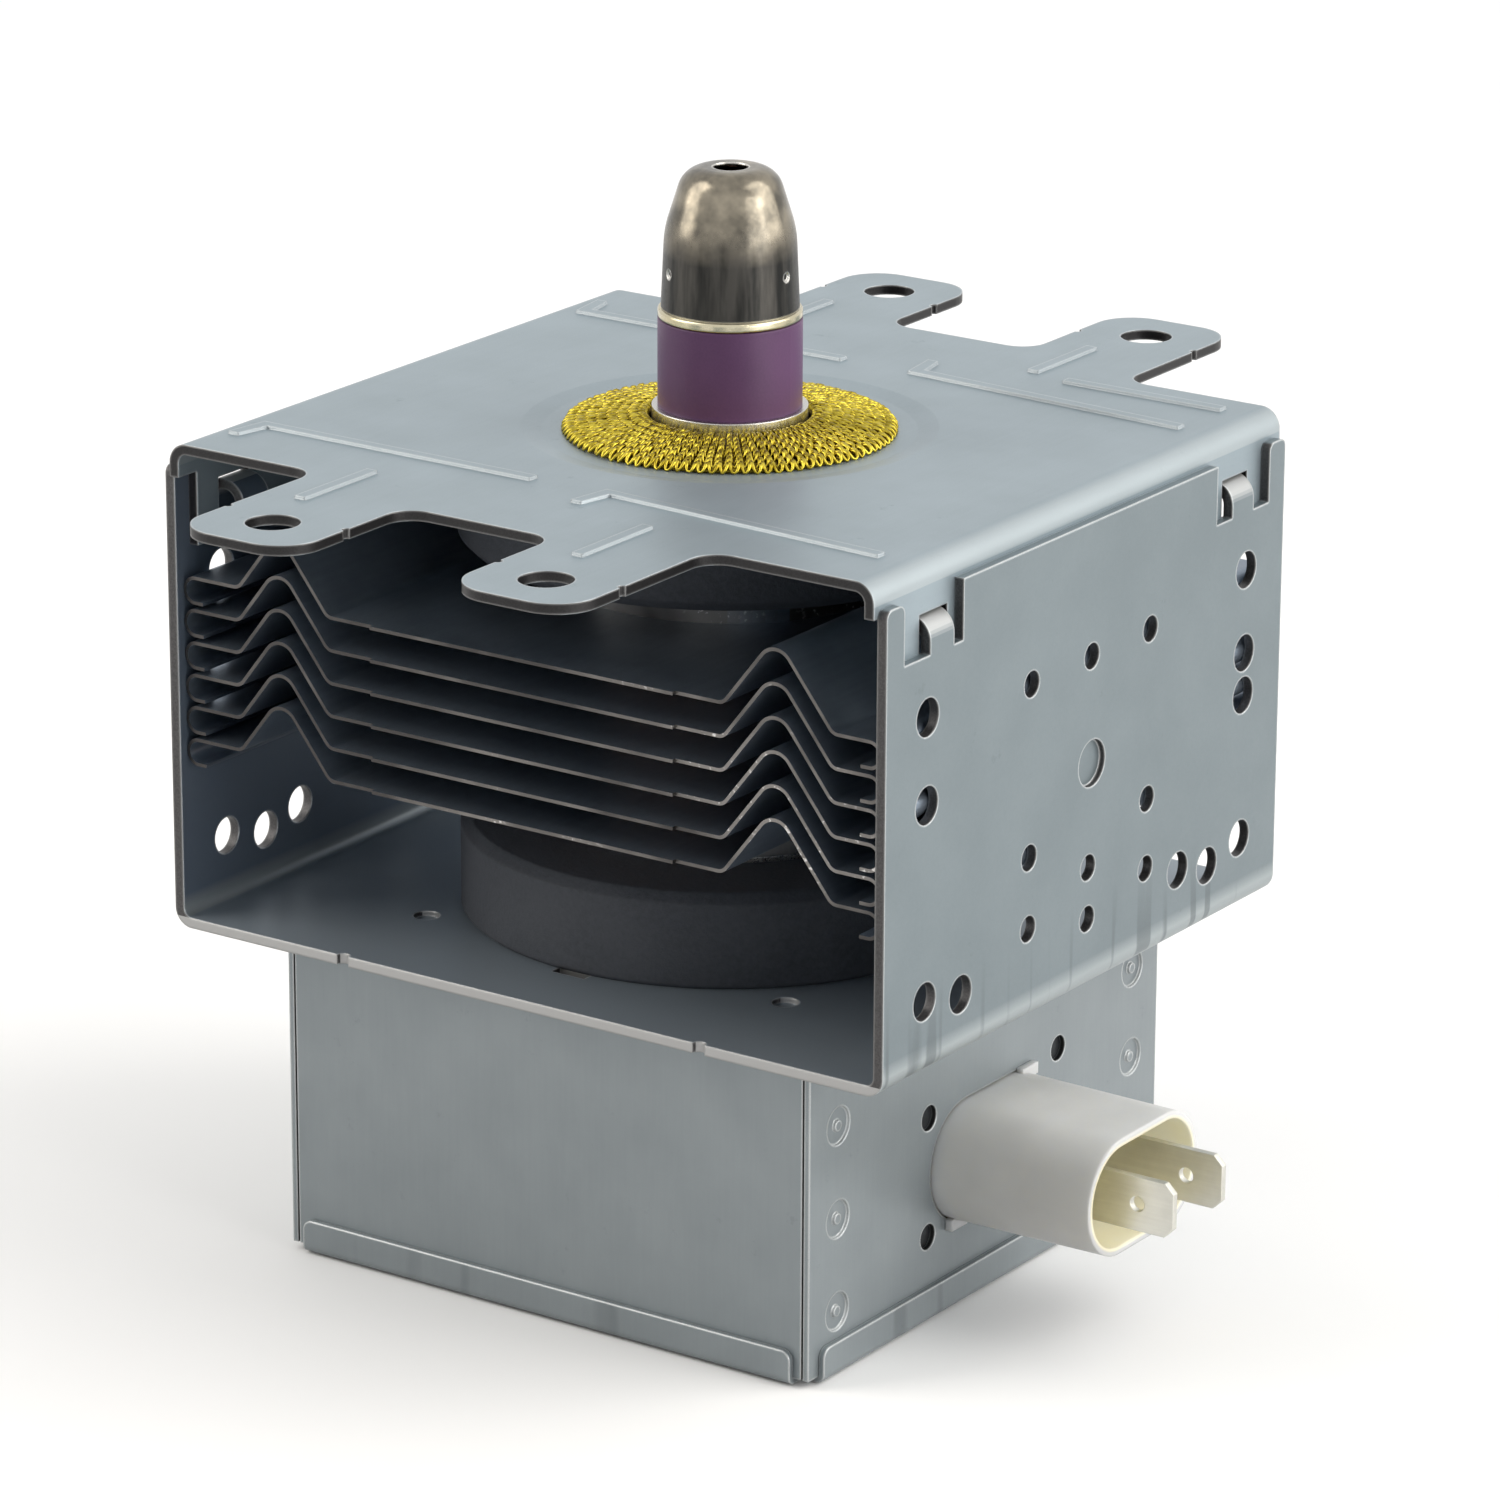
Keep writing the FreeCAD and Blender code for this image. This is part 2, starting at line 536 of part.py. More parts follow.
def makeYoke():
    body = newBody("yoke_frame")
    half = S.yoke_width / 2
    inner, outer = S.bend_inside, S.bend_inside + S.yoke_sheet
    section = sketchOn(body, "XZ_Plane", "yoke_section")
    outline(section, [
        (-half, wallTop), (-half, yokeUnder, outer), (half, yokeUnder, outer), (half, wallTop),
        (wallInside, wallTop), (wallInside, floorTop, inner), (-wallInside, floorTop, inner),
        (-wallInside, wallTop)])
    pad(body, section, "yoke_fold", S.yoke_depth, middle=True)

    plan = sketchOn(body, "XY_Plane", "yoke_floor_plan", floorTop)
    circle(plan, 0, 0, sealHole)
    for x in (-1, 1):
        for y in (-1, 1):
            circle(plan, x * S.edge_nick_x, y * S.yoke_depth / 2, S.edge_nick)
    for y in (-1, 1):
        rectangle(plan, -S.slot_length / 2, y * S.magnet_radius - S.slot_width / 2,
                  S.slot_length / 2, y * S.magnet_radius + S.slot_width / 2)
    pocket(body, plan, "yoke_floor_holes", S.yoke_sheet)

    # stakes pressed down through the box's top, with the dimples that the press leaves
    stakes = sketchOn(body, "XY_Plane", "yoke_stake_plan", floorTop)
    dimples = sketchOn(body, "XY_Plane", "yoke_dimple_plan", floorTop)
    for x in (-1, 1):
        for y in (-1, 1):
            circle(stakes, x * S.stake_place, y * S.stake_place, S.stake_width / 2)
            circle(dimples, x * S.stake_place, y * S.stake_place, S.stake_width / 2)
    pad(body, stakes, "yoke_stakes", S.yoke_sheet + S.box_sheet * 2, flip=True)
    pocket(body, dimples, "yoke_dimples", S.stake_depth)

    # both walls have the same holes, turned by half a turn about the antenna
    holes = sketchOn(body, "YZ_Plane", "yoke_wall_holes", half)
    for y in (-1, 1):
        for drop in (S.row_high, S.row_middle, S.row_low):
            circle(holes, y * S.vent_column, plateTop - drop, S.vent_small / 2)
        for drop in (S.edge_high, S.edge_middle, S.edge_low):
            circle(holes, y * S.edge_column, plateTop - drop, S.vent_large / 2)
        circle(holes, y * S.inner_column, plateTop - S.inner_low, S.vent_large / 2)
    for drop in (S.row_high, S.centre_middle, S.centre_low):
        circle(holes, 0, plateTop - drop, S.vent_small / 2)
    circle(holes, S.edge_column, plateTop - S.edge_extra, S.vent_large / 2)
    circle(holes, S.lone_column, plateTop - S.edge_low, S.vent_large / 2)
    for y in (-1, 1):
        near, far = y * S.notch_inner, y * S.notch_outer
        low, high = (near, far) if y > 0 else (far, near)
        rectangle(holes, low, plateTop - S.notch_drop, high, wallTop + 1)
    cuts = pocket(body, holes, "yoke_wall_cuts", S.yoke_sheet)
    recess = sketchOn(body, "YZ_Plane", "yoke_pip_plan", half)
    circle(recess, S.pip_side, plateTop - S.pip_drop, S.pip_width / 2)
    sunk = pocket(body, recess, "yoke_pip", S.pip_depth)

    # tongues that hook in through the flanges over the floor of their notches
    tongueTop = plateTop - S.tongue_drop
    root = plateTop - S.notch_drop - S.yoke_sheet
    hook = wallInside - S.tongue_bend * 2 - S.tongue_land
    tip, low = hook - S.yoke_sheet, tongueTop - S.tongue_hang
    tongues = []
    for number, y in enumerate((-1, 1), start=1):
        centre = tongueMiddle(y)
        # the XZ plane faces -Y, so a place along Y is the negative of the sketch's offset
        curl = sketchOn(body, "XZ_Plane", "yoke_tongue_section_%d" % number,
                        -centre - S.tongue_width / 2)
        outline(curl, [
            (half, root), (half, tongueTop, S.tongue_bend + S.yoke_sheet),
            (tip, tongueTop, S.tongue_bend + S.yoke_sheet), (tip, low), (hook, low),
            (hook, tongueTop - S.yoke_sheet, S.tongue_bend),
            (wallInside, tongueTop - S.yoke_sheet, S.tongue_bend), (wallInside, root)])
        tongues.append(pad(body, curl, "yoke_tongue_%d" % number, S.tongue_width))
    around(body, [cuts, sunk] + tongues, "yoke_both_walls", 2)
    middle = half - S.yoke_sheet / 2
    posts = [(x * middle, y * place, wallTop) for x in (-1, 1) for y in (-1, 1)
             for place in (S.yoke_depth / 2, S.notch_outer)]
    roundEdges(body, "yoke_post_rounding", S.post_corner, posts)
    return keep("yoke_frame", body)


# Top plate: the lid of the yoke, with four mounting tabs and flanges between the walls

def ribOutline(sketch, side, start, end, slant):
    # a long rib along X with a short leg that leans outwards at its start, on side -1 or 1 of Y
    line, wide, leg = side * S.rib_line, S.rib_width / 2, side * (S.rib_line + S.rib_leg)
    lean, last = S.rib_width * 0.6, side * S.rib_line + slant
    near, far = line - side * wide, line + side * wide
    corners = [
        (start - wide, near), (end, last - side * wide), (end, last + side * wide),
        (start + wide, far), (start + wide - lean, leg), (start - wide - lean, leg)]
    outline(sketch, corners)


def makePlate():
    body = newBody("top_plate")
    inside = S.plate_bend - S.yoke_sheet
    flangeLow = plateTop - S.flange_depth
    thin = wallInside - S.yoke_sheet
    section = sketchOn(body, "XZ_Plane", "plate_section")
    outline(section, [
        (-wallInside, flangeLow), (-thin, flangeLow), (-thin, plateUnder, inside),
        (thin, plateUnder, inside), (thin, flangeLow), (wallInside, flangeLow),
        (wallInside, plateTop, S.plate_bend), (-wallInside, plateTop, S.plate_bend)])
    pad(body, section, "plate_fold", S.plate_depth, middle=True)

    # two tabs at the front and two at the back, joined by a bridge
    inner = S.tab_spacing_x / 2 - S.tab_width / 2
    outer = S.tab_spacing_x / 2 + S.tab_width / 2
    end = S.tab_spacing_y / 2 + S.tab_end
    edge, start, wing = S.plate_depth / 2, S.plate_depth / 2 - 6, outer + S.tab_root + 4
    for name, y in (("front", -1), ("back", 1)):
        tabs = sketchOn(body, "XY_Plane", "plate_tabs_" + name, plateUnder)
        corners = [
            (-wing, y * start), (-wing, y * edge), (-outer, y * edge, S.tab_root),
            (-outer, y * end, S.tab_corner), (-inner, y * end, S.tab_corner),
            (-inner, y * S.bridge_depth, S.tab_root), (inner, y * S.bridge_depth, S.tab_root),
            (inner, y * end, S.tab_corner), (outer, y * end, S.tab_corner),
            (outer, y * edge, S.tab_root), (wing, y * edge), (wing, y * start)]
        outline(tabs, corners)
        pad(body, tabs, "plate_tab_pad_" + name, S.yoke_sheet)

    # windows that fit round the tongues
    windows = sketchOn(body, "YZ_Plane", "plate_windows", wallInside)
    tongueTop = plateTop - S.tongue_drop
    sill = tongueTop - S.yoke_sheet - S.tongue_bend - 2
    half = S.tongue_width / 2 + S.window_margin
    for y in (-1, 1):
        centre = tongueMiddle(y)
        rectangle(windows, centre - half, sill, centre + half, tongueTop + S.window_gap)
    opened = pocket(body, windows, "plate_window_cut", S.yoke_sheet * 2)
    around(body, [opened], "plate_windows_both", 2)

    # cut-back ends of the flanges
    ends = sketchOn(body, "YZ_Plane", "plate_flange_ends")
    for y in (-1, 1):
        near, far = y * (edge - S.flange_cutback), y * (edge + 2)
        low, high = (near, far) if y > 0 else (far, near)
        rectangle(ends, low, flangeLow - 2, high, plateTop - S.flange_stub)
    pocket(body, ends, "plate_flange_end_cut", middle=True)

    holes = sketchOn(body, "XY_Plane", "plate_holes", plateTop)
    circle(holes, 0, 0, S.seat_rim)
    nick = S.tab_spacing_y / 2 - S.tab_nick_back
    for x in (-1, 1):
        for y in (-1, 1):
            circle(holes, x * S.tab_spacing_x / 2, y * S.tab_spacing_y / 2, S.tab_hole / 2)
            circle(holes, x * inner, y * nick, S.tab_nick)
            circle(holes, x * outer, y * nick, S.tab_nick)
    pocket(body, holes, "plate_hole_cut", S.yoke_sheet)

    seat = sketchOn(body, "XZ_Plane", "plate_seat_section")
    outline(seat, [
        (S.plate_hole, seatTop), (S.seat_flat, seatTop), (S.seat_rim, plateTop),
        (S.seat_rim, plateUnder), (S.seat_flat, seatTop - S.yoke_sheet),
        (S.plate_hole, seatTop - S.yoke_sheet)])
    turn(body, seat, "plate_seat")

    # pressed ribs: proud of the top, hollow underneath
    for name, level, kind in (("ribs", plateTop, pad), ("rib_hollows", plateUnder, pocket)):
        ribs = sketchOn(body, "XY_Plane", "plate_" + name, level)
        half = S.rib_width / 2
        for y in (-1, 1):
            ribOutline(ribs, y, -S.rib_end, -S.rib_mid, asSize(0))
            ribOutline(ribs, y, S.rib_mid, S.rib_end, -S.rib_slant)
            near, far = y * S.tab_rib_start, y * S.tab_rib_end
            low, high = (near, far) if y > 0 else (far, near)
            rectangle(ribs, -S.tab_rib_left - half, low, -S.tab_rib_left + half, high)
            rectangle(ribs, S.tab_rib_right - half, low, S.tab_rib_right + half, high)
        rectangle(ribs, S.tab_rib_left, S.rib_far - half, S.rib_end, S.rib_far + half)
        if kind is pad:
            pad(body, ribs, "plate_rib_pad", S.rib_height)
        else:
            pocket(body, ribs, "plate_rib_cut", S.rib_height, flip=True)
    return keep("top_plate", body)


# Ring magnets

def makeMagnets():
    for label, steel, side in (("lower_magnet", floorTop, 1), ("upper_magnet", highMagnetTop, -1)):
        face, edge, foot = steel + side * S.magnet_thick, S.magnet_chamfer, S.magnet_foot
        turned(label, [
            (S.magnet_bore, steel), (S.magnet_radius - foot, steel),
            (S.magnet_radius, steel + side * foot), (S.magnet_radius, face - side * edge),
            (S.magnet_radius - edge, face), (S.magnet_bore, face)])


# Anode: copper shell with ten vanes, strapped alternately at the top and at the bottom

def strapStart(ring):
    return S.strap_inner + ring * (S.strap_thick + S.strap_space)


def strapGroove(ring, touching):
    # radial start, radial end and depth of one strap ring's groove across a vane
    beside = S.groove_margin if touching else S.groove_clear
    depth = S.strap_height if touching else S.strap_height + S.groove_clear
    return strapStart(ring) - beside, strapStart(ring) + S.strap_thick + beside, depth


def makeAnode():
    body = newBody("anode_block")
    ring = sketchOn(body, "XZ_Plane", "anode_shell_section")
    bore = S.anode_radius - S.anode_wall
    outline(ring, [
        (bore, shellLow), (S.anode_radius, shellLow), (S.anode_radius, shellHigh),
        (bore, shellHigh)])
    turn(body, ring, "anode_shell")
    # even vanes carry the inner ring at the top and the outer ring below, odd vanes the others
    root = bore + S.anode_wall / 2
    for name, touches, turnBy in (("even", 0, 0), ("odd", 1, 36)):
        vane = sketchOn(body, "XZ_Plane", "anode_vane_" + name)
        vane.AttachmentOffset = FreeCAD.Placement(FreeCAD.Vector(0, 0, 0),
                                                  FreeCAD.Rotation(FreeCAD.Vector(0, 1, 0), turnBy))
        corners = [(S.vane_tip, vaneUnder)]
        for ring in (0, 1):
            start, end, depth = strapGroove(ring, ring != touches)
            corners += [(start, vaneUnder), (start, vaneUnder + depth),
                        (end, vaneUnder + depth), (end, vaneUnder)]
        corners += [(root, vaneUnder), (root, vaneTop)]
        for ring in (1, 0):
            start, end, depth = strapGroove(ring, ring == touches)
            corners += [(end, vaneTop), (end, vaneTop - depth),
                        (start, vaneTop - depth), (start, vaneTop)]
        corners += [(S.vane_tip, vaneTop)]
        outline(vane, corners)
        blade = pad(body, vane, "anode_vane_pad_" + name, S.vane_thick, middle=True)
        around(body, [blade], "anode_vanes_" + name, 5)
    keep("anode_block", body)

    for level, low in (("upper", vaneTop - S.strap_height), ("lower", vaneUnder)):
        for place, ring in (("inner", 0), ("outer", 1)):
            start, high = strapStart(ring), low + S.strap_height
            turned("%s_%s_strap" % (level, place), [
                (start, low), (start + S.strap_thick, low), (start + S.strap_thick, high),
                (start, high)])


# Pole pieces: iron funnels that close the anode's ends

def makePoles():
    lean = S.pole_thick * 0.567
    for label, way, nose, rim in (
            ("upper_pole_piece", 1, vaneTop + S.pole_gap, shellHigh),
            ("lower_pole_piece", -1, vaneUnder - S.pole_gap, shellLow)):
        thick = way * S.pole_thick
        body = turned(label, [
            (S.pole_bore, nose), (S.pole_tip, nose), (S.pole_shoulder, rim), (S.anode_radius, rim),
            (S.anode_radius, rim + thick), (S.pole_shoulder - lean, rim + thick),
            (S.pole_tip - lean, nose + thick), (S.pole_bore, nose + thick)])
        if way > 0:
            hole = sketchOn(body, "XY_Plane", "pole_antenna_hole")
            circle(hole, S.antenna_foot, 0, S.antenna_rod * 1.8)
            pocket(body, hole, "pole_antenna_cut", middle=True)


# Seals, output ceramic, antenna and gasket

def sealCup(label, way, flange, shoulder, end, neck, lip):
    # a thin drawn cup with a flange, a shoulder, a neck and a lip; way is 1 up and -1 down
    wall = S.seal_wall
    step = way * S.seal_wall
    slope = way * 1.6
    return turned(label, [
        (S.seal_radius - wall, flange), (S.anode_radius, flange), (S.anode_radius, flange + step),
        (S.seal_radius, flange + step), (S.seal_radius, shoulder), (neck, shoulder + slope),
        (neck, end), (lip, end), (lip, end - step), (neck - wall, end - step),
        (neck - wall, shoulder + slope), (S.seal_radius - wall, shoulder)])


ceramicFoot = plateTop + S.ceramic_start
ceramicTop = ceramicFoot + S.ceramic_height
ringTop = ceramicTop + S.ring_height
stemTop = yokeUnder - S.stem_neck
stemUnder = stemTop - S.stem_height
chokeLevel = S.plug_height
pinEnd = chokeLevel + S.choke_radius - S.lead_radius
tubeFoot = ringTop + 1.6
tubeTop = plateTop + S.exhaust_rise
pinchStart = tubeTop - 5.0


def makeOutput():
    sealCup("output_seal", 1, highMagnetUnder - S.seal_wall, plateUnder - 2.4, ceramicFoot,
            S.neck_radius, S.ceramic_bore + 0.6)
    turned("output_ceramic", [
        (S.ceramic_bore, ceramicFoot), (S.ceramic_radius, ceramicFoot),
        (S.ceramic_radius, ceramicTop), (S.ceramic_bore, ceramicTop)])
    # the ring over the ceramic goes on as a cone that holds the exhaust tube
    grip, wall = S.cap_radius - S.cap_wall - 0.1, S.seal_wall
    tube = S.exhaust_radius + S.press_gap
    turned("antenna_seal", [
        (grip - wall * 2, ceramicTop), (S.ceramic_radius, ceramicTop, 0.3),
        (S.ceramic_radius, ringTop, 0.3), (grip, ringTop), (grip, ringTop + 0.8),
        (tube + wall, tubeFoot + 1.6), (tube + wall, tubeFoot + 3.4), (tube, tubeFoot + 3.4),
        (tube, tubeFoot + 1.2), (grip - wall * 2, ringTop)])
    cap = newBody("antenna_cap")
    section = sketchOn(cap, "XZ_Plane", "cap_section")
    outline(section, [
        (S.cap_radius, ringTop), (S.cap_shoulder, plateTop + S.cap_shoulder_rise, S.cap_dome * 4),
        (S.cap_top_radius, plateTop + S.cap_height, S.cap_dome),
        (S.cap_hole, plateTop + S.cap_height), (S.cap_hole, plateTop + S.cap_height - S.cap_wall),
        (S.cap_top_radius - S.cap_wall * 0.7, plateTop + S.cap_height - S.cap_wall,
         S.cap_dome - S.cap_wall),
        (S.cap_shoulder - S.cap_wall, plateTop + S.cap_shoulder_rise - S.cap_wall * 0.2,
         S.cap_dome * 4 - S.cap_wall),
        (S.cap_radius - S.cap_wall, ringTop)])
    turn(cap, section, "cap_turn")
    # three small marks where the cap is crimped
    crimp = sketchOn(cap, "YZ_Plane", "cap_crimp_plan", S.cap_radius)
    circle(crimp, 0, plateTop + S.crimp_rise, S.crimp_width / 2)
    slack = (S.cap_radius - S.cap_shoulder) / 2
    mark = pocket(cap, crimp, "cap_crimp", slack + S.crimp_depth)
    around(cap, [mark], "cap_crimps", 3)
    keep("antenna_cap", cap)

    tubeBody = newBody("exhaust_tube")
    section = sketchOn(tubeBody, "XZ_Plane", "exhaust_section")
    bore = S.exhaust_radius - S.exhaust_wall
    outline(section, [
        (bore, tubeFoot), (S.exhaust_radius, tubeFoot), (S.exhaust_radius, tubeTop), (0, tubeTop),
        (0, pinchStart), (bore, pinchStart)])
    turn(tubeBody, section, "exhaust_turn")
    pinch = sketchOn(tubeBody, "YZ_Plane", "exhaust_pinch_plan")
    for y in (-1, 1):
        flat, wide = y * S.exhaust_wall * 0.7, y * S.exhaust_radius * 1.1
        outline(pinch, [
            (flat, tubeTop + 1), (flat, tubeTop - 2.5), (wide, pinchStart), (wide, tubeTop + 1)])
    pocket(tubeBody, pinch, "exhaust_pinch", middle=True)
    keep("exhaust_tube", tubeBody)

    lead = newBody("antenna_lead")
    path = sketchOn(lead, "XZ_Plane", "antenna_path")
    outline(path, [
        (S.antenna_foot, vaneTop), (S.antenna_foot, shellHigh - 2.0, 4.0),
        (0, plateUnder, 4.0), (0, pinchStart)], closed=False)
    foot = sketchOn(lead, "XY_Plane", "antenna_section", vaneTop)
    circle(foot, S.antenna_foot, 0, S.antenna_rod)
    pipe = lead.newObject("PartDesign::AdditivePipe", "antenna_pipe")
    pipe.Profile = foot
    pipe.Spine = (path, [])
    lead.Tip = pipe
    doc.recompute()
    keep("antenna_lead", lead)

    # knitted rows: crests and grooves that rise from the gasket's edge to its bore
    rows = int(float(S.gasket_rows))
    step = (S.gasket_radius - S.gasket_bore) / rows
    rise = (S.gasket_crown - S.gasket_edge) / rows
    corners = [(S.gasket_bore, seatTop), (S.gasket_radius, seatTop)]
    for row in range(rows):
        radius = S.gasket_radius - step * row
        level = plateTop + S.gasket_edge + rise * (row + 1)
        corners += [(radius, level - rise - S.gasket_groove), (radius - step / 2, level)]
    corners.append((S.gasket_bore, level - S.gasket_groove))
    turned("rf_gasket", corners)


# Cathode: a filament between two end hats, on two leads from the stem ceramic

def makeCathode():
    upperHat, lowerHat = vaneTop + 0.2, vaneUnder - 0.2 - S.hat_thick
    turned("upper_end_hat", [
        (0, upperHat), (S.hat_radius, upperHat), (S.hat_radius, upperHat + S.hat_thick, 0.4),
        (0, upperHat + S.hat_thick)])
    turned("lower_end_hat", [
        (S.hat_bore, lowerHat), (S.hat_radius, lowerHat, 0.4),
        (S.hat_radius, lowerHat + S.hat_thick), (S.hat_bore, lowerHat + S.hat_thick)])

    coil = newBody("cathode_filament")
    wire = sketchOn(coil, "XZ_Plane", "filament_section")
    low, half = lowerHat + S.hat_thick, S.filament_wire / 2
    rectangle(wire, S.filament_radius - half, low, S.filament_radius + half, low + half * 2)
    helix = coil.newObject("PartDesign::AdditiveHelix", "filament_helix")
    helix.Profile = wire
    helix.ReferenceAxis = (wire, ["V_Axis"])
    helix.Mode = "pitch-height-angle"
    bind(helix, "Pitch", S.filament_pitch)
    bind(helix, "Height", upperHat - low - S.filament_wire)
    coil.Tip = helix
    doc.recompute()
    keep("cathode_filament", coil)

    side = newBody("cathode_side_lead")
    foot = sketchOn(side, "XY_Plane", "side_lead_plan", pinEnd)
    circle(foot, 0, S.lead_place, S.lead_radius)
    pad(side, foot, "side_lead_pad", lowerHat - pinEnd)
    keep("cathode_side_lead", side)

    centre = newBody("cathode_centre_lead")
    path = sketchOn(centre, "YZ_Plane", "centre_lead_path")
    outline(path, [
        (-S.lead_place, pinEnd), (-S.lead_place, floorTop + 1.0, 3.0), (0, lowMagnetTop, 3.0),
        (0, upperHat)], closed=False)
    foot = sketchOn(centre, "XY_Plane", "centre_lead_section", pinEnd)
    circle(foot, 0, -S.lead_place, S.lead_radius)
    pipe = centre.newObject("PartDesign::AdditivePipe", "centre_lead_pipe")
    pipe.Profile = foot
    pipe.Spine = (path, [])
    centre.Tip = pipe
    doc.recompute()
    keep("cathode_centre_lead", centre)

    sealCup("input_seal", -1, lowMagnetTop + S.seal_wall, yokeUnder - 0.4, stemTop,
            S.neck_radius, S.lead_place + 2.4)
    stem = turned("stem_ceramic", [
        (0, stemUnder), (S.stem_radius, stemUnder), (S.stem_radius, stemTop), (0, stemTop)])
    holes = sketchOn(stem, "XY_Plane", "stem_holes", stemTop)
    for y in (-1, 1):
        circle(holes, 0, y * S.lead_place, S.lead_radius + S.press_gap)
    pocket(stem, holes, "stem_hole_cut")


# Cooling fins: folded sheets pressed on the anode, whose curled ends bear on the yoke's walls

def tangent(size):
    return Size(math.tan(math.radians(size.value)), "tan(%s)" % size.text)


def cosine(size):
    return Size(math.cos(math.radians(size.value)), "cos(%s)" % size.text)


def finSide(flat, step):
    # corners of one side, out along the upper face and back along the lower one; the outer flat is
    # a step above the middle flat
    half = S.fin_sheet / 2
    wall = wallInside - S.press_gap
    shift = half * tangent(S.fin_slope / 2)
    crest = flat + (S.fin_peak - S.fin_flat) * tangent(S.fin_slope)
    thick = half / cosine(S.fin_slope)
    outer = flat + step
    foot = S.fin_peak + (crest - outer) / tangent(S.fin_slope)
    floor = outer + half - S.curl_height
    upper = [
        (S.fin_flat - shift, flat + half, S.fin_bend), (S.fin_peak, crest + thick, S.crest_radius),
        (foot + shift, outer + half, S.fin_bend), (wall, outer + half, S.curl_bend),
        (wall, floor, S.curl_bend), (wall - S.curl_tip, floor)]
    inside = S.curl_bend - S.fin_sheet
    lower = [
        (wall - S.curl_tip, floor + S.fin_sheet),
        (wall - S.fin_sheet, floor + S.fin_sheet, inside),
        (wall - S.fin_sheet, outer - half, inside),
        (foot - shift, outer - half, S.fin_bend + S.fin_sheet),
        (S.fin_peak, crest - thick, S.crest_radius - S.fin_sheet),
        (S.fin_flat + shift, flat - half, S.fin_bend + S.fin_sheet)]
    return upper, lower


def mirrored(corners):
    return [(-corner[0],) + corner[1:] for corner in reversed(corners)]


def makeFins():
    depth = S.fin_depth + S.fin_setback * 2
    for number in range(int(float(S.fin_count))):
        name = "cooling_fin_%d" % (number + 1)
        flat = plateTop - S.fin_top - S.fin_sheet / 2 - number * S.fin_pitch
        body = newBody(name)
        section = sketchOn(body, "XZ_Plane", name + "_section")
        upper, lower = finSide(flat, -S.fin_drop)
        leftUpper, leftLower = finSide(flat, S.fin_lift)
        outline(section, upper + lower + mirrored(leftLower) + mirrored(leftUpper))
        pad(body, section, name + "_fold", depth, middle=True)
        ends = sketchOn(body, "XY_Plane", name + "_ends", plateTop)
        for x in (-1, 1):
            for y in (-1, 1):
                near, far = x * S.fin_middle, x * S.yoke_width / 2
                left, right = (near, far) if x > 0 else (far, near)
                edge = y * S.fin_depth / 2
                low, high = (edge, edge + 2) if y > 0 else (edge - 2, edge)
                rectangle(ends, left, low, right, high)
        pocket(body, ends, name + "_setback")
        collar = sketchOn(body, "XY_Plane", name + "_collar_plan", flat)
        circle(collar, 0, 0, S.anode_radius + S.press_gap + S.fin_sheet)
        pad(body, collar, name + "_collar", S.collar_height)
        hole = sketchOn(body, "XY_Plane", name + "_hole_plan", plateTop)
        circle(hole, 0, 0, S.anode_radius + S.press_gap)
        pocket(body, hole, name + "_hole")
        keep(name, body)


# Filter box: a can that hangs from the yoke and a lid with lips round its foot

canUnder = S.box_sheet
canWall = S.box_width / 2
canInside = canWall - S.box_sheet
canTop = yokeUnder - S.box_sheet
canFront = S.box_depth / 2


def invertedChannel(body, role, name, width, length):
    # a sheet folded down at both sides, open underneath
    section = sketchOn(body, role, name + "_section")
    inner, bend = width - S.box_sheet, S.box_sheet * 1.6
    outline(section, [
        (-width, canUnder), (-inner, canUnder), (-inner, canTop, bend - S.box_sheet),
        (inner, canTop, bend - S.box_sheet), (inner, canUnder), (width, canUnder),
        (width, yokeUnder, bend), (-width, yokeUnder, bend)])
    pad(body, section, name + "_fold", length, middle=True)


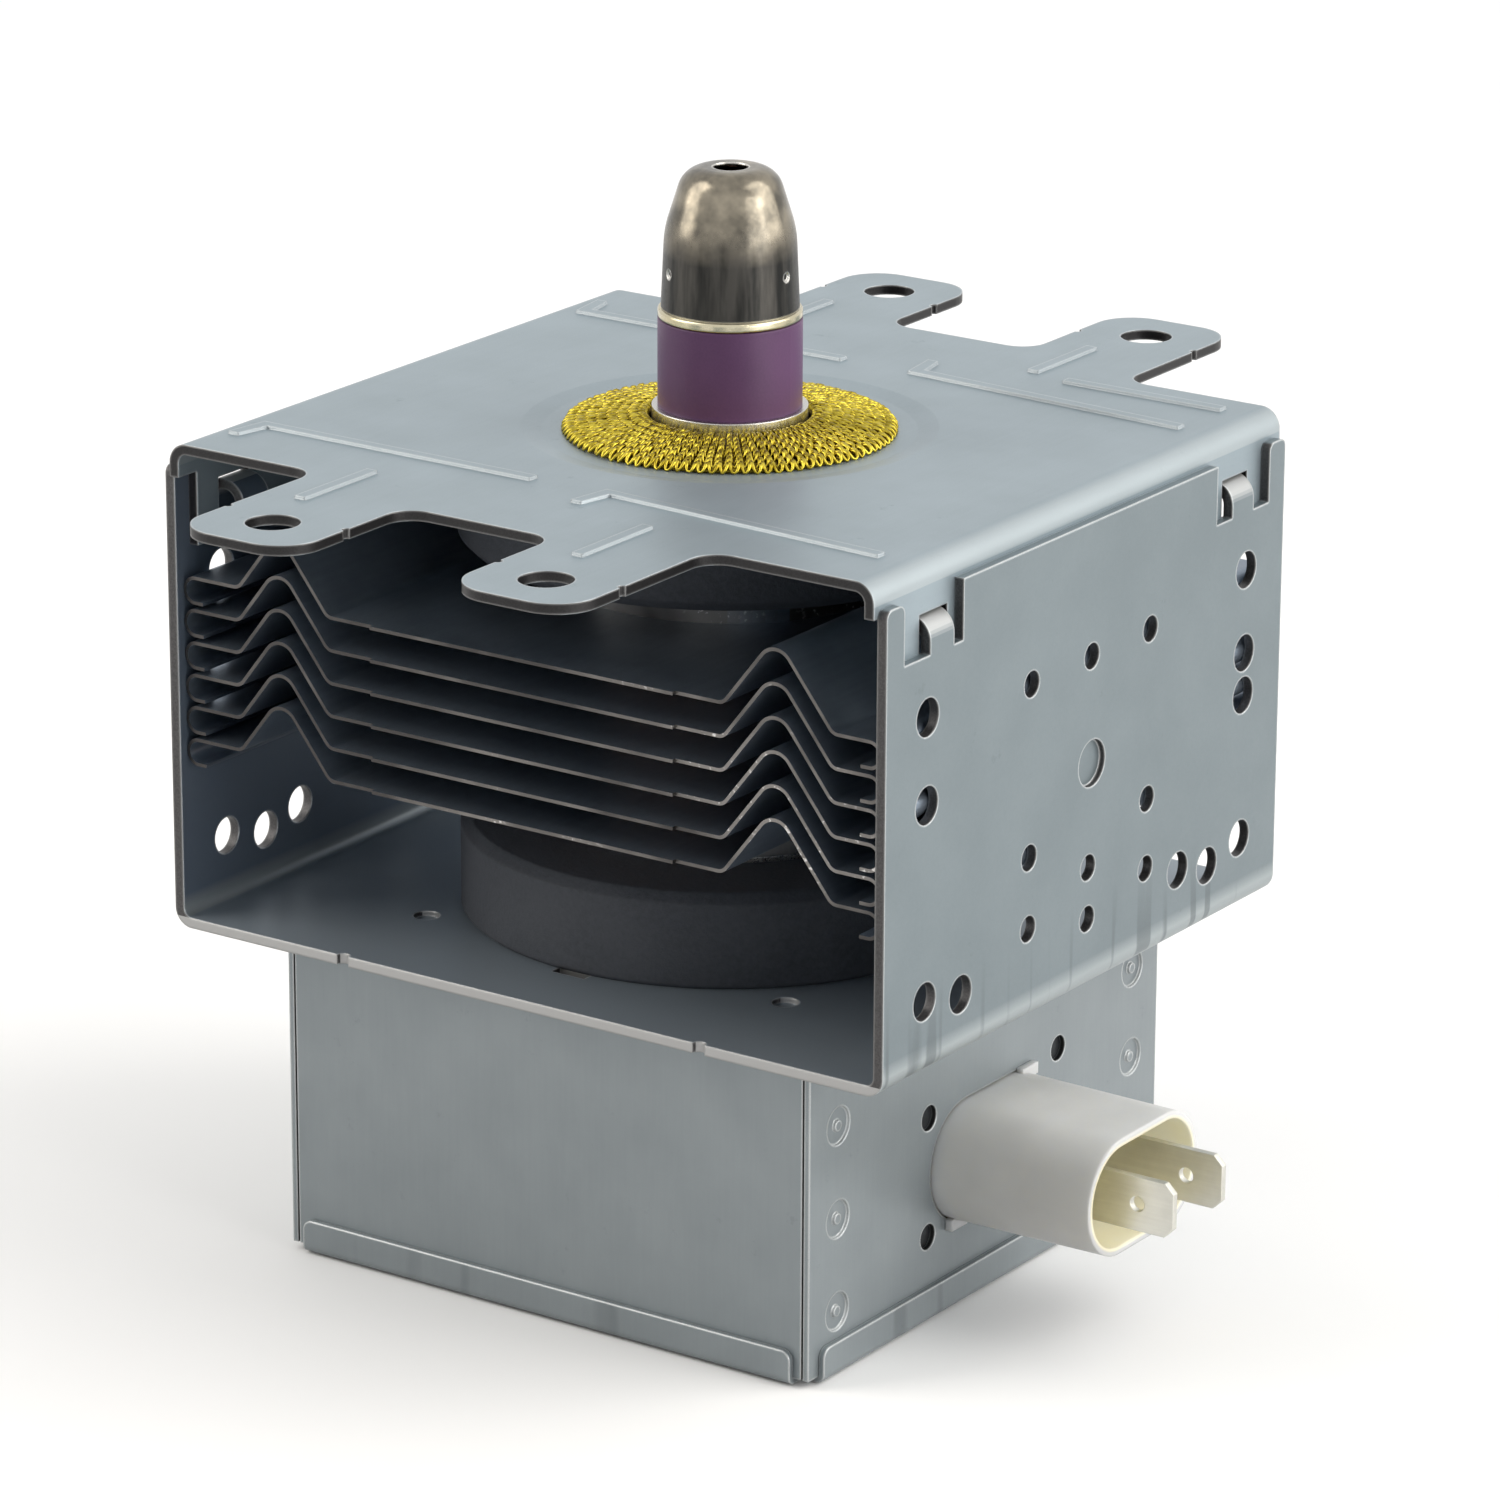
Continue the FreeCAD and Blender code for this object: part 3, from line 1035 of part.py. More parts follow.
def makeCan():
    body = newBody("filter_can")
    invertedChannel(body, "XZ_Plane", "can_sides", canWall, S.box_depth - S.box_sheet * 2)
    invertedChannel(body, "YZ_Plane", "can_ends", canFront, S.box_width - S.box_sheet * 2)
    # the corners: side walls run to the front, end walls turn in behind them
    corners = sketchOn(body, "XY_Plane", "can_corner_plan", canUnder)
    for x in (-1, 1):
        for y in (-1, 1):
            near, far = x * (canInside - S.box_sheet), x * canWall
            left, right = (near, far) if x > 0 else (far, near)
            near, far = y * (canFront - S.corner_flange), y * canFront
            low, high = (near, far) if y > 0 else (far, near)
            rectangle(corners, left, low, right, high)
    seamTop = yokeUnder - S.seam_top
    pad(body, corners, "can_corners", seamTop - canUnder)
    for y in (-1, 1):
        # the XZ plane faces -Y, so a place along Y is the negative of the sketch's offset
        seams = sketchOn(body, "XZ_Plane", "can_seam_plan_%d" % (y + 2), -y * canFront)
        for x in (-1, 1):
            near, far = x * (canInside - S.seam_gap), x * canInside
            left, right = (near, far) if x > 0 else (far, near)
            rectangle(seams, left, -1, right, seamTop)
            circle(seams, x * (canInside - S.seam_gap / 2), seamTop, S.seam_hole)
        pocket(body, seams, "can_seams_%d" % (y + 2), S.box_sheet * 1.4, flip=y > 0)

    top = sketchOn(body, "XY_Plane", "can_top_plan", yokeUnder)
    circle(top, 0, 0, sealHole)
    for x in (-1, 1):
        for y in (-1, 1):
            circle(top, x * S.stake_place, y * S.stake_place, S.stake_width / 2 + S.press_gap)
    pocket(body, top, "can_top_holes", S.box_sheet)

    wall = sketchOn(body, "YZ_Plane", "can_wall_plan", canWall)
    stadium(wall, 0, S.plug_height, S.plug_width + S.plug_gap * 2, S.plug_tall + S.plug_gap * 2)
    for y in (-1, 1):
        for z in (-1, 1):
            circle(wall, y * S.plug_hole_y + S.plug_hole_shift,
                   S.plug_height + z * S.plug_hole_z, S.plug_hole_width / 2)
    pocket(body, wall, "can_wall_holes", S.box_sheet * 2)

    # clinch buttons that join the side walls to the flanges behind them
    for name, kind, radius, start in (
            ("bosses", pad, S.clinch_width / 2 + 0.4, canInside - S.box_sheet),
            ("dimples", pocket, S.clinch_width / 2, canWall),
            ("pips", pad, S.clinch_width / 7, canWall - S.clinch_depth)):
        buttons = sketchOn(body, "YZ_Plane", "can_clinch_" + name, start)
        for y in (-1, 1):
            for level in range(3):
                height = S.clinch_first + level * S.clinch_pitch
                circle(buttons, y * S.clinch_place, height, radius)
        length = S.clinch_depth * 1.6 if name == "bosses" else S.clinch_depth
        feature = kind(body, buttons, "can_clinch_%s_made" % name, length, flip=name == "bosses")
        around(body, [feature], "can_clinch_%s_both" % name, 2)
    return keep("filter_can", body)


def makeLid():
    body = newBody("filter_lid")
    thick, bend = S.box_sheet, S.lip_bend
    folds = (("sides", "XZ_Plane", canWall, canFront), ("ends", "YZ_Plane", canFront, canWall))
    for name, role, half, reach in folds:
        inner = half + S.press_gap
        outer = inner + thick
        section = sketchOn(body, role, "lid_section_" + name)
        outline(section, [
            (-outer, S.lip_height), (-outer, 0, bend), (outer, 0, bend), (outer, S.lip_height),
            (inner, S.lip_height), (inner, thick), (-inner, thick), (-inner, S.lip_height)])
        pad(body, section, "lid_fold_" + name, (reach - S.lip_short) * 2, middle=True)
    corners = []
    for name, role, half, reach in folds:
        middle = half + S.press_gap + thick / 2
        for a in (-1, 1):
            for b in (-1, 1):
                across, along = a * middle, b * (reach - S.lip_short)
                flat = (across, along) if name == "sides" else (along, across)
                corners.append(flat + (S.lip_height,))
    roundEdges(body, "lid_lip_rounding", S.lip_corner, corners)
    return keep("filter_lid", body)


# Connector with its feed-through capacitor and terminal blades

earthInside = canInside - S.earth_sheet
shoulderInside = earthInside - S.shoulder_thick
cupEnd = shoulderInside - S.cup_depth
plugFloor = canWall + S.plug_floor
bladeTip = canWall + S.blade_reach
lugEnd = cupEnd - S.lug_length


def lugSlots(sketch):
    tall, thick = S.lug_tall / 2 + S.press_gap, S.blade_sheet / 2 + S.press_gap
    for y in (-1, 1):
        rectangle(sketch, y * S.blade_place - thick, S.plug_height - tall,
                  y * S.blade_place + thick, S.plug_height + tall)


def makeConnector():
    body = newBody("connector_housing")
    for name, start, length, extra, flip, taper in (
            ("shroud", canWall, S.plug_length, 0, False, -S.plug_draft),
            ("throat", canWall, S.box_sheet + S.earth_sheet, 0, True, None),
            ("shoulder", earthInside, S.shoulder_thick, 3.6, True, None),
            ("cup", shoulderInside, S.cup_depth, 0, True, None)):
        plan = sketchOn(body, "YZ_Plane", "plug_%s_plan" % name, start)
        stadium(plan, 0, S.plug_height, S.plug_width + extra, S.plug_tall + extra)
        pad(body, plan, "plug_" + name, length, flip=flip, taper=taper)
    inner, low = S.plug_width - S.plug_wall * 2, S.plug_tall - S.plug_wall * 2
    mouth = sketchOn(body, "YZ_Plane", "plug_mouth_plan", plugFloor)
    stadium(mouth, 0, S.plug_height, inner, low)
    pocket(body, mouth, "plug_mouth", S.plug_length - S.plug_floor, flip=True, taper=-S.plug_draft)
    well = sketchOn(body, "YZ_Plane", "plug_well_plan", cupEnd)
    stadium(well, 0, S.plug_height, inner, low)
    pocket(body, well, "plug_well", S.cup_depth, flip=True)
    slots = sketchOn(body, "YZ_Plane", "plug_slot_plan", shoulderInside)
    lugSlots(slots)
    pocket(body, slots, "plug_slots", plugFloor - shoulderInside, flip=True)
    ears = sketchOn(body, "YZ_Plane", "plug_ear_plan", canWall + S.press_gap)
    for side in (-1, 1):
        near = S.plug_height + side * (S.plug_tall / 2 - S.plug_wall)
        far = S.plug_height + side * (S.plug_tall / 2 + S.ear_reach)
        bottom, top = (near, far) if side > 0 else (far, near)
        middle = side * S.ear_place
        rectangle(ears, middle - S.ear_length / 2, bottom, middle + S.ear_length / 2, top)
    pad(body, ears, "plug_ears", S.ear_thick)
    keep("connector_housing", body)

    plate = newBody("earth_plate")
    plan = sketchOn(plate, "YZ_Plane", "earth_plan", canInside)
    rectangle(plan, -S.earth_width / 2, S.plug_height - S.earth_tall / 2, S.earth_width / 2,
              S.plug_height + S.earth_tall / 2, S.box_sheet * 3)
    stadium(plan, 0, S.plug_height, S.plug_width + S.plug_gap, S.plug_tall + S.plug_gap)
    pad(plate, plan, "earth_pad", S.earth_sheet, flip=True)
    keep("earth_plate", plate)

    block = newBody("capacitor_ceramic")
    plan = sketchOn(block, "YZ_Plane", "capacitor_plan", shoulderInside)
    stadium(plan, 0, S.plug_height, inner - S.press_gap * 2, low - S.press_gap * 2)
    lugSlots(plan)
    pad(block, plan, "capacitor_pad", S.capacitor_thick, flip=True)
    keep("capacitor_ceramic", block)

    for label, side in (("left_terminal_blade", -1), ("right_terminal_blade", 1)):
        blade = newBody(label)
        # the XZ plane faces -Y, so a place along Y is the negative of the sketch's offset
        plan = sketchOn(blade, "XZ_Plane", label + "_plan", -side * S.blade_place)
        low, high = S.plug_height - S.blade_tall / 2, S.plug_height + S.blade_tall / 2
        lugLow, lugHigh = S.plug_height - S.lug_tall / 2, S.plug_height + S.lug_tall / 2
        cut = S.blade_chamfer
        outline(plan, [
            (lugEnd, lugLow), (plugFloor, lugLow), (plugFloor, low), (bladeTip - cut, low),
            (bladeTip, low + cut), (bladeTip, high - cut), (bladeTip - cut, high),
            (plugFloor, high), (plugFloor, lugHigh), (lugEnd, lugHigh)])
        circle(plan, bladeTip - S.blade_hole_back, S.plug_height, S.blade_hole / 2)
        pad(blade, plan, label + "_pad", S.blade_sheet, middle=True)
        keep(label, blade)


# Choke coils on ferrite cores, from the stem's pins to the capacitor's lugs

def hexagon(sketch, x, y, radius):
    corners = []
    for step in range(6):
        angle = math.radians(60 * step)
        corners.append((x + radius * math.cos(angle), y + radius * math.sin(angle)))
    outline(sketch, corners)


def makeChokes():
    for name, side in (("left", -1), ("right", 1)):
        axis = side * S.choke_place
        core = newBody(name + "_ferrite_core")
        plan = sketchOn(core, "YZ_Plane", name + "_core_plan", -S.choke_start + S.core_inset)
        circle(plan, axis, chokeLevel, S.core_radius)
        pad(core, plan, name + "_core_pad", S.core_length)
        keep(name + "_ferrite_core", core)

        coil = newBody(name + "_choke_coil")
        wire = sketchOn(coil, "XZ_Plane", name + "_coil_section", -axis)
        bind(wire, "AttachmentOffset.Base.y", chokeLevel)
        hexagon(wire, -S.choke_start, S.choke_radius, S.choke_wire)
        helix = coil.newObject("PartDesign::AdditiveHelix", name + "_coil_helix")
        helix.Profile = wire
        helix.ReferenceAxis = (wire, ["H_Axis"])
        helix.Mode = "height-turns-angle"
        bind(helix, "Height", S.choke_length)
        bind(helix, "Turns", S.choke_turns)
        helix.LeftHanded = side > 0
        coil.Tip = helix
        doc.recompute()

        # a lead over to the stem's pin and a lead over to the capacitor's lug
        pinSide = side * S.lead_place
        toPin = sketchOn(coil, "XY_Plane", name + "_pin_path", chokeLevel + S.choke_radius)
        outline(toPin, [
            (-S.choke_start, axis), (-S.choke_start, pinSide, S.choke_bend),
            (-S.lead_radius - S.press_gap, pinSide)], closed=False)
        start = sketchOn(coil, "XZ_Plane", name + "_pin_section", -axis)
        circle(start, -S.choke_start, chokeLevel + S.choke_radius, S.choke_wire)
        pipe = coil.newObject("PartDesign::AdditivePipe", name + "_pin_pipe")
        pipe.Profile = start
        pipe.Spine = (toPin, [])
        coil.Tip = pipe
        doc.recompute()

        coilEnd = S.choke_length - S.choke_start
        inner = side * (S.choke_place - S.choke_radius)
        lugX = lugEnd + S.lug_length - S.lug_back
        toLug = sketchOn(coil, "XY_Plane", name + "_lug_path", chokeLevel)
        outline(toLug, [
            (coilEnd, inner), (lugX, inner, S.choke_bend),
            (lugX, side * (S.blade_place + S.blade_sheet / 2 + S.press_gap))], closed=False)
        start = sketchOn(coil, "YZ_Plane", name + "_lug_section", coilEnd)
        circle(start, inner, chokeLevel, S.choke_wire)
        pipe = coil.newObject("PartDesign::AdditivePipe", name + "_lug_pipe")
        pipe.Profile = start
        pipe.Spine = (toLug, [])
        coil.Tip = pipe
        doc.recompute()
        keep(name + "_choke_coil", coil)


for maker in (makeYoke, makePlate, makeMagnets, makeAnode, makePoles, makeOutput, makeCathode,
              makeFins, makeCan, makeLid, makeConnector, makeChokes):
    maker()
    print(maker.__name__)

doc.recompute()
os.makedirs("parts", exist_ok=True)
for item in doc.Objects:
    if "Invalid" in item.State or "Error" in item.State:
        raise ValueError("%s is %s" % (item.Label, item.State))
for label, item in nodes.items():
    shape = item.Shape
    if shape.isNull() or not shape.isValid() or shape.Volume <= 0:
        raise ValueError("%s has no valid shape" % label)
    shape.exportStep("parts/%s.step" % label)
    box = shape.BoundBox
    print(label, len(shape.Solids), round(shape.Volume, 1), "x %.2f %.2f y %.2f %.2f z %.2f %.2f" % (
        box.XMin, box.XMax, box.YMin, box.YMax, box.ZMin, box.ZMax))
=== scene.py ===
import math
import random

import bmesh
import bpy
from mathutils import Matrix, Vector


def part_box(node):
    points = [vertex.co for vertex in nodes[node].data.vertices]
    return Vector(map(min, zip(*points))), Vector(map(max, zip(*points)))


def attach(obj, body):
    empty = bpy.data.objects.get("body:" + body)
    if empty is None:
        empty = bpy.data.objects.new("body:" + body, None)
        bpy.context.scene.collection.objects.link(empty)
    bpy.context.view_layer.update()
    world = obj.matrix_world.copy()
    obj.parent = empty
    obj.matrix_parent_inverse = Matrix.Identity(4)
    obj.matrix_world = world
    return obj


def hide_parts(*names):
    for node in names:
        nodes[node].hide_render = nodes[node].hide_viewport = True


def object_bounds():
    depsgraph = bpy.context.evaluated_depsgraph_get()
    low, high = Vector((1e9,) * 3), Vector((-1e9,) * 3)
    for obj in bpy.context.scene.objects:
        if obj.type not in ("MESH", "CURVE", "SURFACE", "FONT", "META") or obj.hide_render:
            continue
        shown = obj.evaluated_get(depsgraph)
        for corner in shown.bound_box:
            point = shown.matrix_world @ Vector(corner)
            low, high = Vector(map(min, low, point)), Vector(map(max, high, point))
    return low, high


# looks of a microwave oven magnetron, all sizes in metres

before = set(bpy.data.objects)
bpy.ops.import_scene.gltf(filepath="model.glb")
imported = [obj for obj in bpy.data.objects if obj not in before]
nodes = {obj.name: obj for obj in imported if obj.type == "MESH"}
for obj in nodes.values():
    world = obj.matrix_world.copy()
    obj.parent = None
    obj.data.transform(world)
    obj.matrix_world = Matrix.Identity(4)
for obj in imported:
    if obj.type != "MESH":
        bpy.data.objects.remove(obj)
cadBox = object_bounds()
random.seed(7)
print("frame loaded:", len(nodes), "pieces")

# the two kinds of steel sheet, the height of the pressed ribs, and the outermost skin of a sheet,
# which doesn't count as cut
sheets = {"steel": 0.0012, "box": 0.0007, "rib": 0.00035, "skin": 0.00005}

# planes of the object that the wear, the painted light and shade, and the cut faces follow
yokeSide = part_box("yoke_frame")[1].x      # outside of the yoke's walls
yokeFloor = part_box("filter_can")[1].z     # underside of the yoke's floor
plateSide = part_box("top_plate")[1].x      # outside of the plate's flanges
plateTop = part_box("top_plate")[1].z - sheets["rib"]
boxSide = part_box("filter_can")[1].x       # outside of the filter box's walls
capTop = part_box("antenna_cap")[1].z
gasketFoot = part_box("rf_gasket")[0].z

# how squarely a face looks along an axis: 1 is straight along it, 0 is across it
facing = {"square": 0.9, "nearly": 0.8, "partly": 0.6, "half": 0.5}


# the photo's point of view, with angles in degrees, and lens and sensor in millimetres
photoView = {
    "place": (0.43205, -0.62543, 0.30918), "azimuth": 34.306, "elevation": 18.698, "roll": -0.268,
    "lens": 169.5, "sensor": 36, "shift": (-0.0117, 0.0282), "clip": (0.05, 20),
}


def makeCamera():
    azimuth, elevation, roll = [math.radians(photoView[key])
                                for key in ("azimuth", "elevation", "roll")]
    back = Vector((math.sin(azimuth) * math.cos(elevation),
                   -math.cos(azimuth) * math.cos(elevation), math.sin(elevation)))
    right = (-back).cross(Vector((0, 0, 1))).normalized()
    up = back.cross(right)
    turned = Matrix((right, up, back)).transposed().to_4x4() @ Matrix.Rotation(-roll, 4, "Z")
    data = bpy.data.cameras.new("photoCamera")
    data.sensor_width = photoView["sensor"]
    data.lens = photoView["lens"]
    data.shift_x, data.shift_y = photoView["shift"]
    data.clip_start, data.clip_end = photoView["clip"]
    camera = bpy.data.objects.new("photoCamera", data)
    camera.matrix_world = Matrix.Translation(photoView["place"]) @ turned
    bpy.context.scene.collection.objects.link(camera)
    bpy.context.scene.camera = camera


# small helpers that build nodes

def link(tree, source, target):
    tree.links.new(source, target)


def feed(tree, socket, value):
    # numbers and colours are set on the socket, outputs of other nodes are linked to it
    if isinstance(value, tuple) and len(value) == 3 and socket.type == "RGBA":
        socket.default_value = value + (1,)
    elif isinstance(value, (int, float, tuple)):
        socket.default_value = value
    else:
        link(tree, value, socket)


def newNode(tree, kind, values, **settings):
    # values go to the sockets, by name or number, and settings to the node itself
    node = tree.nodes.new("ShaderNode" + kind)
    for name, setting in settings.items():
        setattr(node, name, setting)
    for key, value in values.items():
        feed(tree, node.inputs[key], value)
    return node


def makeMath(tree, operation, *values):
    return newNode(tree, "Math", dict(enumerate(values)), operation=operation).outputs[0]


def above(tree, value, limit):
    return makeMath(tree, "GREATER_THAN", value, limit)


def below(tree, value, limit):
    return makeMath(tree, "LESS_THAN", value, limit)


def both(tree, first, *others):
    # masks that all have to hold, or one mask made weaker by a number
    second = others[0] if len(others) == 1 else both(tree, *others)
    return makeMath(tree, "MULTIPLY", first, second)


def either(tree, first, *others):
    second = others[0] if len(others) == 1 else either(tree, *others)
    return makeMath(tree, "MAXIMUM", first, second)


def within(tree, value, low, high):
    return both(tree, above(tree, value, low), below(tree, value, high))


def inSheet(tree, value, outside, thickness):
    # the inner part of a cut face, between the two skins of a sheet
    return within(tree, value, outside - thickness + sheets["skin"], outside - sheets["skin"])


def makeLength(tree, first, second):
    squares = [makeMath(tree, "POWER", value, 2.0) for value in (first, second)]
    return makeMath(tree, "SQRT", makeMath(tree, "ADD", *squares))


def makeRamp(tree, source, low, high, first=0, last=1):
    # goes from first to last while the source goes from low to high
    values = {"Value": source, "From Min": low, "From Max": high, "To Min": first, "To Max": last}
    return newNode(tree, "MapRange", values, clamp=True).outputs[0]


def makeMix(tree, factor, first, second):
    return newNode(tree, "Mix", {0: factor, 6: first, 7: second}, data_type="RGBA").outputs[2]


def makeNoise(tree, vector, scale, detail=2.0, roughness=0.5):
    values = {"Vector": vector, "Scale": scale, "Detail": detail, "Roughness": roughness}
    return newNode(tree, "TexNoise", values).outputs["Fac"]


def makeStretch(tree, vector, factors):
    return newNode(tree, "VectorMath", {0: vector, 1: factors}, operation="MULTIPLY").outputs[0]


def makeDot(tree, first, second):
    node = newNode(tree, "VectorMath", {0: first, 1: second}, operation="DOT_PRODUCT")
    return node.outputs["Value"]


def makeSplit(tree, vector):
    return newNode(tree, "SeparateXYZ", {0: vector}).outputs


def objectPlace(tree):
    return newNode(tree, "TexCoord", {}).outputs["Object"]


def newGroup(name, inputs, outputs):
    # inputs give the kind and value of each socket, outputs only its kind
    group = bpy.data.node_groups.new(name, "ShaderNodeTree")
    for socket, (kind, value) in inputs.items():
        made = group.interface.new_socket(socket, in_out="INPUT", socket_type="NodeSocket" + kind)
        made.default_value = value
    for socket, kind in outputs.items():
        group.interface.new_socket(socket, in_out="OUTPUT", socket_type="NodeSocket" + kind)
    start, end = group.nodes.new("NodeGroupInput"), group.nodes.new("NodeGroupOutput")
    return group, start.outputs, end.inputs


def useGroup(tree, group, **values):
    node = tree.nodes.new("ShaderNodeGroup")
    node.node_tree = group
    for name, value in values.items():
        feed(tree, node.inputs[name], value)
    return node.outputs


def darker(colour, share):
    return tuple(part * share for part in colour)


# effects that several materials share, and first how near a point is to a sharp edge
edgeRubAndShine = {"radius": 0.0004, "samples": 6, "turn": (0.998, 0.90)}


def makeEdgeGroup():
    # 0 on a flat and 1 on the edge, and a normal that rounds the edge off
    group, given, result = newGroup("edgeRubAndShine", {"Radius": ("Float", edgeRubAndShine["radius"])},
                                    {"Edge": "Float", "Normal": "Vector"})
    rounded = newNode(group, "Bevel", {"Radius": given["Radius"]},
                      samples=edgeRubAndShine["samples"]).outputs[0]
    flat = newNode(group, "NewGeometry", {}).outputs["Normal"]
    turn = makeDot(group, rounded, flat)
    link(group, makeRamp(group, turn, *edgeRubAndShine["turn"]), result["Edge"])
    link(group, rounded, result["Normal"])
    return group


# rolled sheet: each noise is a scale, a detail and a roughness, as in all that follow
rolled = {
    "streaks": (1800, 3, 0.6), "streakShare": 0.25, "cloud": 60, "cloudDetail": 4,
    "grain": (5200, 2, 0.7), "spots": (260, 5, 0.75), "scuffed": (0.64, 0.72),
}


def makeSheetGroup():
    # fine grain, faint rolling streaks, cloudy patches and a few scuffs
    group, given, result = newGroup(
        "rolledZinc", {"Streak": ("Vector", (1, 1, 1)), "Cloud": ("Float", rolled["cloud"])},
        {"Tone": "Float", "Grain": "Float", "Scuff": "Float"})
    place = objectPlace(group)
    streaks = makeNoise(group, makeStretch(group, place, given["Streak"]), *rolled["streaks"])
    cloud = makeNoise(group, place, given["Cloud"], rolled["cloudDetail"])
    tone = makeMath(group, "ADD", both(group, streaks, rolled["streakShare"]),
                    both(group, cloud, 1 - rolled["streakShare"]))
    link(group, tone, result["Tone"])
    link(group, makeNoise(group, place, *rolled["grain"]), result["Grain"])
    spots = makeNoise(group, place, *rolled["spots"])
    link(group, makeRamp(group, spots, *rolled["scuffed"]), result["Scuff"])
    return group


def makePlaceGroup():
    # where a point is: distances from the middle planes and from the axis, and its facing
    names = ("Side", "Depth", "Height", "Reach", "FaceSide", "FaceFront", "FaceUp")
    group, given, result = newGroup("placeOnPart", {}, {name: "Float" for name in names})
    place = makeSplit(group, objectPlace(group))
    side = makeMath(group, "ABSOLUTE", place["X"])
    depth = makeMath(group, "ABSOLUTE", place["Y"])
    link(group, side, result["Side"])
    link(group, depth, result["Depth"])
    link(group, place["Z"], result["Height"])
    link(group, makeLength(group, side, depth), result["Reach"])
    normal = makeSplit(group, newNode(group, "NewGeometry", {}).outputs["True Normal"])
    for axis, name in (("X", "FaceSide"), ("Y", "FaceFront"), ("Z", "FaceUp")):
        link(group, makeMath(group, "ABSOLUTE", normal[axis]), result[name])
    return group


edgeGroup = makeEdgeGroup()
sheetGroup = makeSheetGroup()
placeGroup = makePlaceGroup()
print("shared effects built")


def newMaterial(name, colour, metallic):
    material = bpy.data.materials.new(name)
    material.use_nodes = True
    tree = material.node_tree
    shader = tree.nodes["Principled BSDF"]
    shader.inputs["Base Color"].default_value = colour + (1,)
    shader.inputs["Metallic"].default_value = metallic
    return material, tree, shader


def addBump(tree, shader, height, strength, distance, normal=None):
    bump = newNode(tree, "Bump", {"Height": height, "Strength": strength, "Distance": distance})
    if normal is not None:
        link(tree, normal, bump.inputs["Normal"])
    link(tree, bump.outputs[0], shader.inputs["Normal"])


def cover(material, *pieces):
    for piece in pieces:
        nodes[piece].data.materials.clear()
        nodes[piece].data.materials.append(material)


# zinc-plated steel sheet, and what its four pieces share
zinc = {
    "metallic": 0.5, "cloud": 110.0, "edge": 0.0004, "tone": (0.34, 0.66),
    "scuff": 0.22, "scuffTone": 0.66, "scuffRough": 0.08, "rough": (0.3, 0.7, 0.38, 0.46),
    "bump": 0.05, "bumpDepth": 0.0001, "rubbedAndShine": (0.80, 0.82, 0.82),
    "cutTone": (0.4, 0.6), "cutToneShare": 0.6, "burrAndShine": 0.55, "burrAndShineTone": (0.42, 0.42, 0.415),
}


def zincSheet(look, wearAndShade=None, cuts=None):
    # the wear function changes the colour of rolled faces, with wear marks and with painted light
    # and shade; cuts says where the cut faces are
    material, tree, shader = newMaterial(look["name"], look["light"], zinc["metallic"])
    sheet = useGroup(tree, sheetGroup, Streak=look["streak"], Cloud=zinc["cloud"])
    edge = useGroup(tree, edgeGroup, Radius=zinc["edge"])
    place = useGroup(tree, placeGroup)
    tone = makeRamp(tree, sheet["Tone"], *zinc["tone"])
    colour = makeMix(tree, tone, look["dark"], look["light"])
    colour = makeMix(tree, both(tree, sheet["Scuff"], zinc["scuff"]), colour,
                     darker(look["dark"], zinc["scuffTone"]))
    if wearAndShade is not None:
        colour = wearAndShade(tree, place, sheet["Tone"], colour)
    # edges painted pale: partly edges rubbed bare, partly a painted highlight along the edges
    colour = makeMix(tree, both(tree, edge["Edge"], look["rubAndShine"]), colour, zinc["rubbedAndShine"])
    if cuts is not None:
        cut, paleEdge = cuts(tree, place)
        # cut faces painted dark: bare cut steel, and painted shade inside the holes and gaps
        cutTone = makeMix(tree, makeRamp(tree, sheet["Grain"], *zinc["cutTone"]),
                        darker(look["cut"], zinc["cutToneShare"]), look["cut"])
        if paleEdge is not None:
            cutTone = makeMix(tree, paleEdge, cutTone, zinc["burrAndShineTone"])
        # the rims of the cut faces painted pale: burrs, and a painted highlight on the rounded
        # punched edges
        burrAndShine = both(tree, edge["Edge"], zinc["burrAndShine"])
        colour = makeMix(tree, cut, colour, makeMix(tree, burrAndShine, cutTone, zinc["burrAndShineTone"]))
    link(tree, colour, shader.inputs["Base Color"])
    rough = makeMath(tree, "ADD", makeRamp(tree, sheet["Grain"], *zinc["rough"]),
                     both(tree, sheet["Scuff"], zinc["scuffRough"]))
    link(tree, rough, shader.inputs["Roughness"])
    addBump(tree, shader, sheet["Grain"], zinc["bump"], zinc["bumpDepth"], edge["Normal"])
    return material


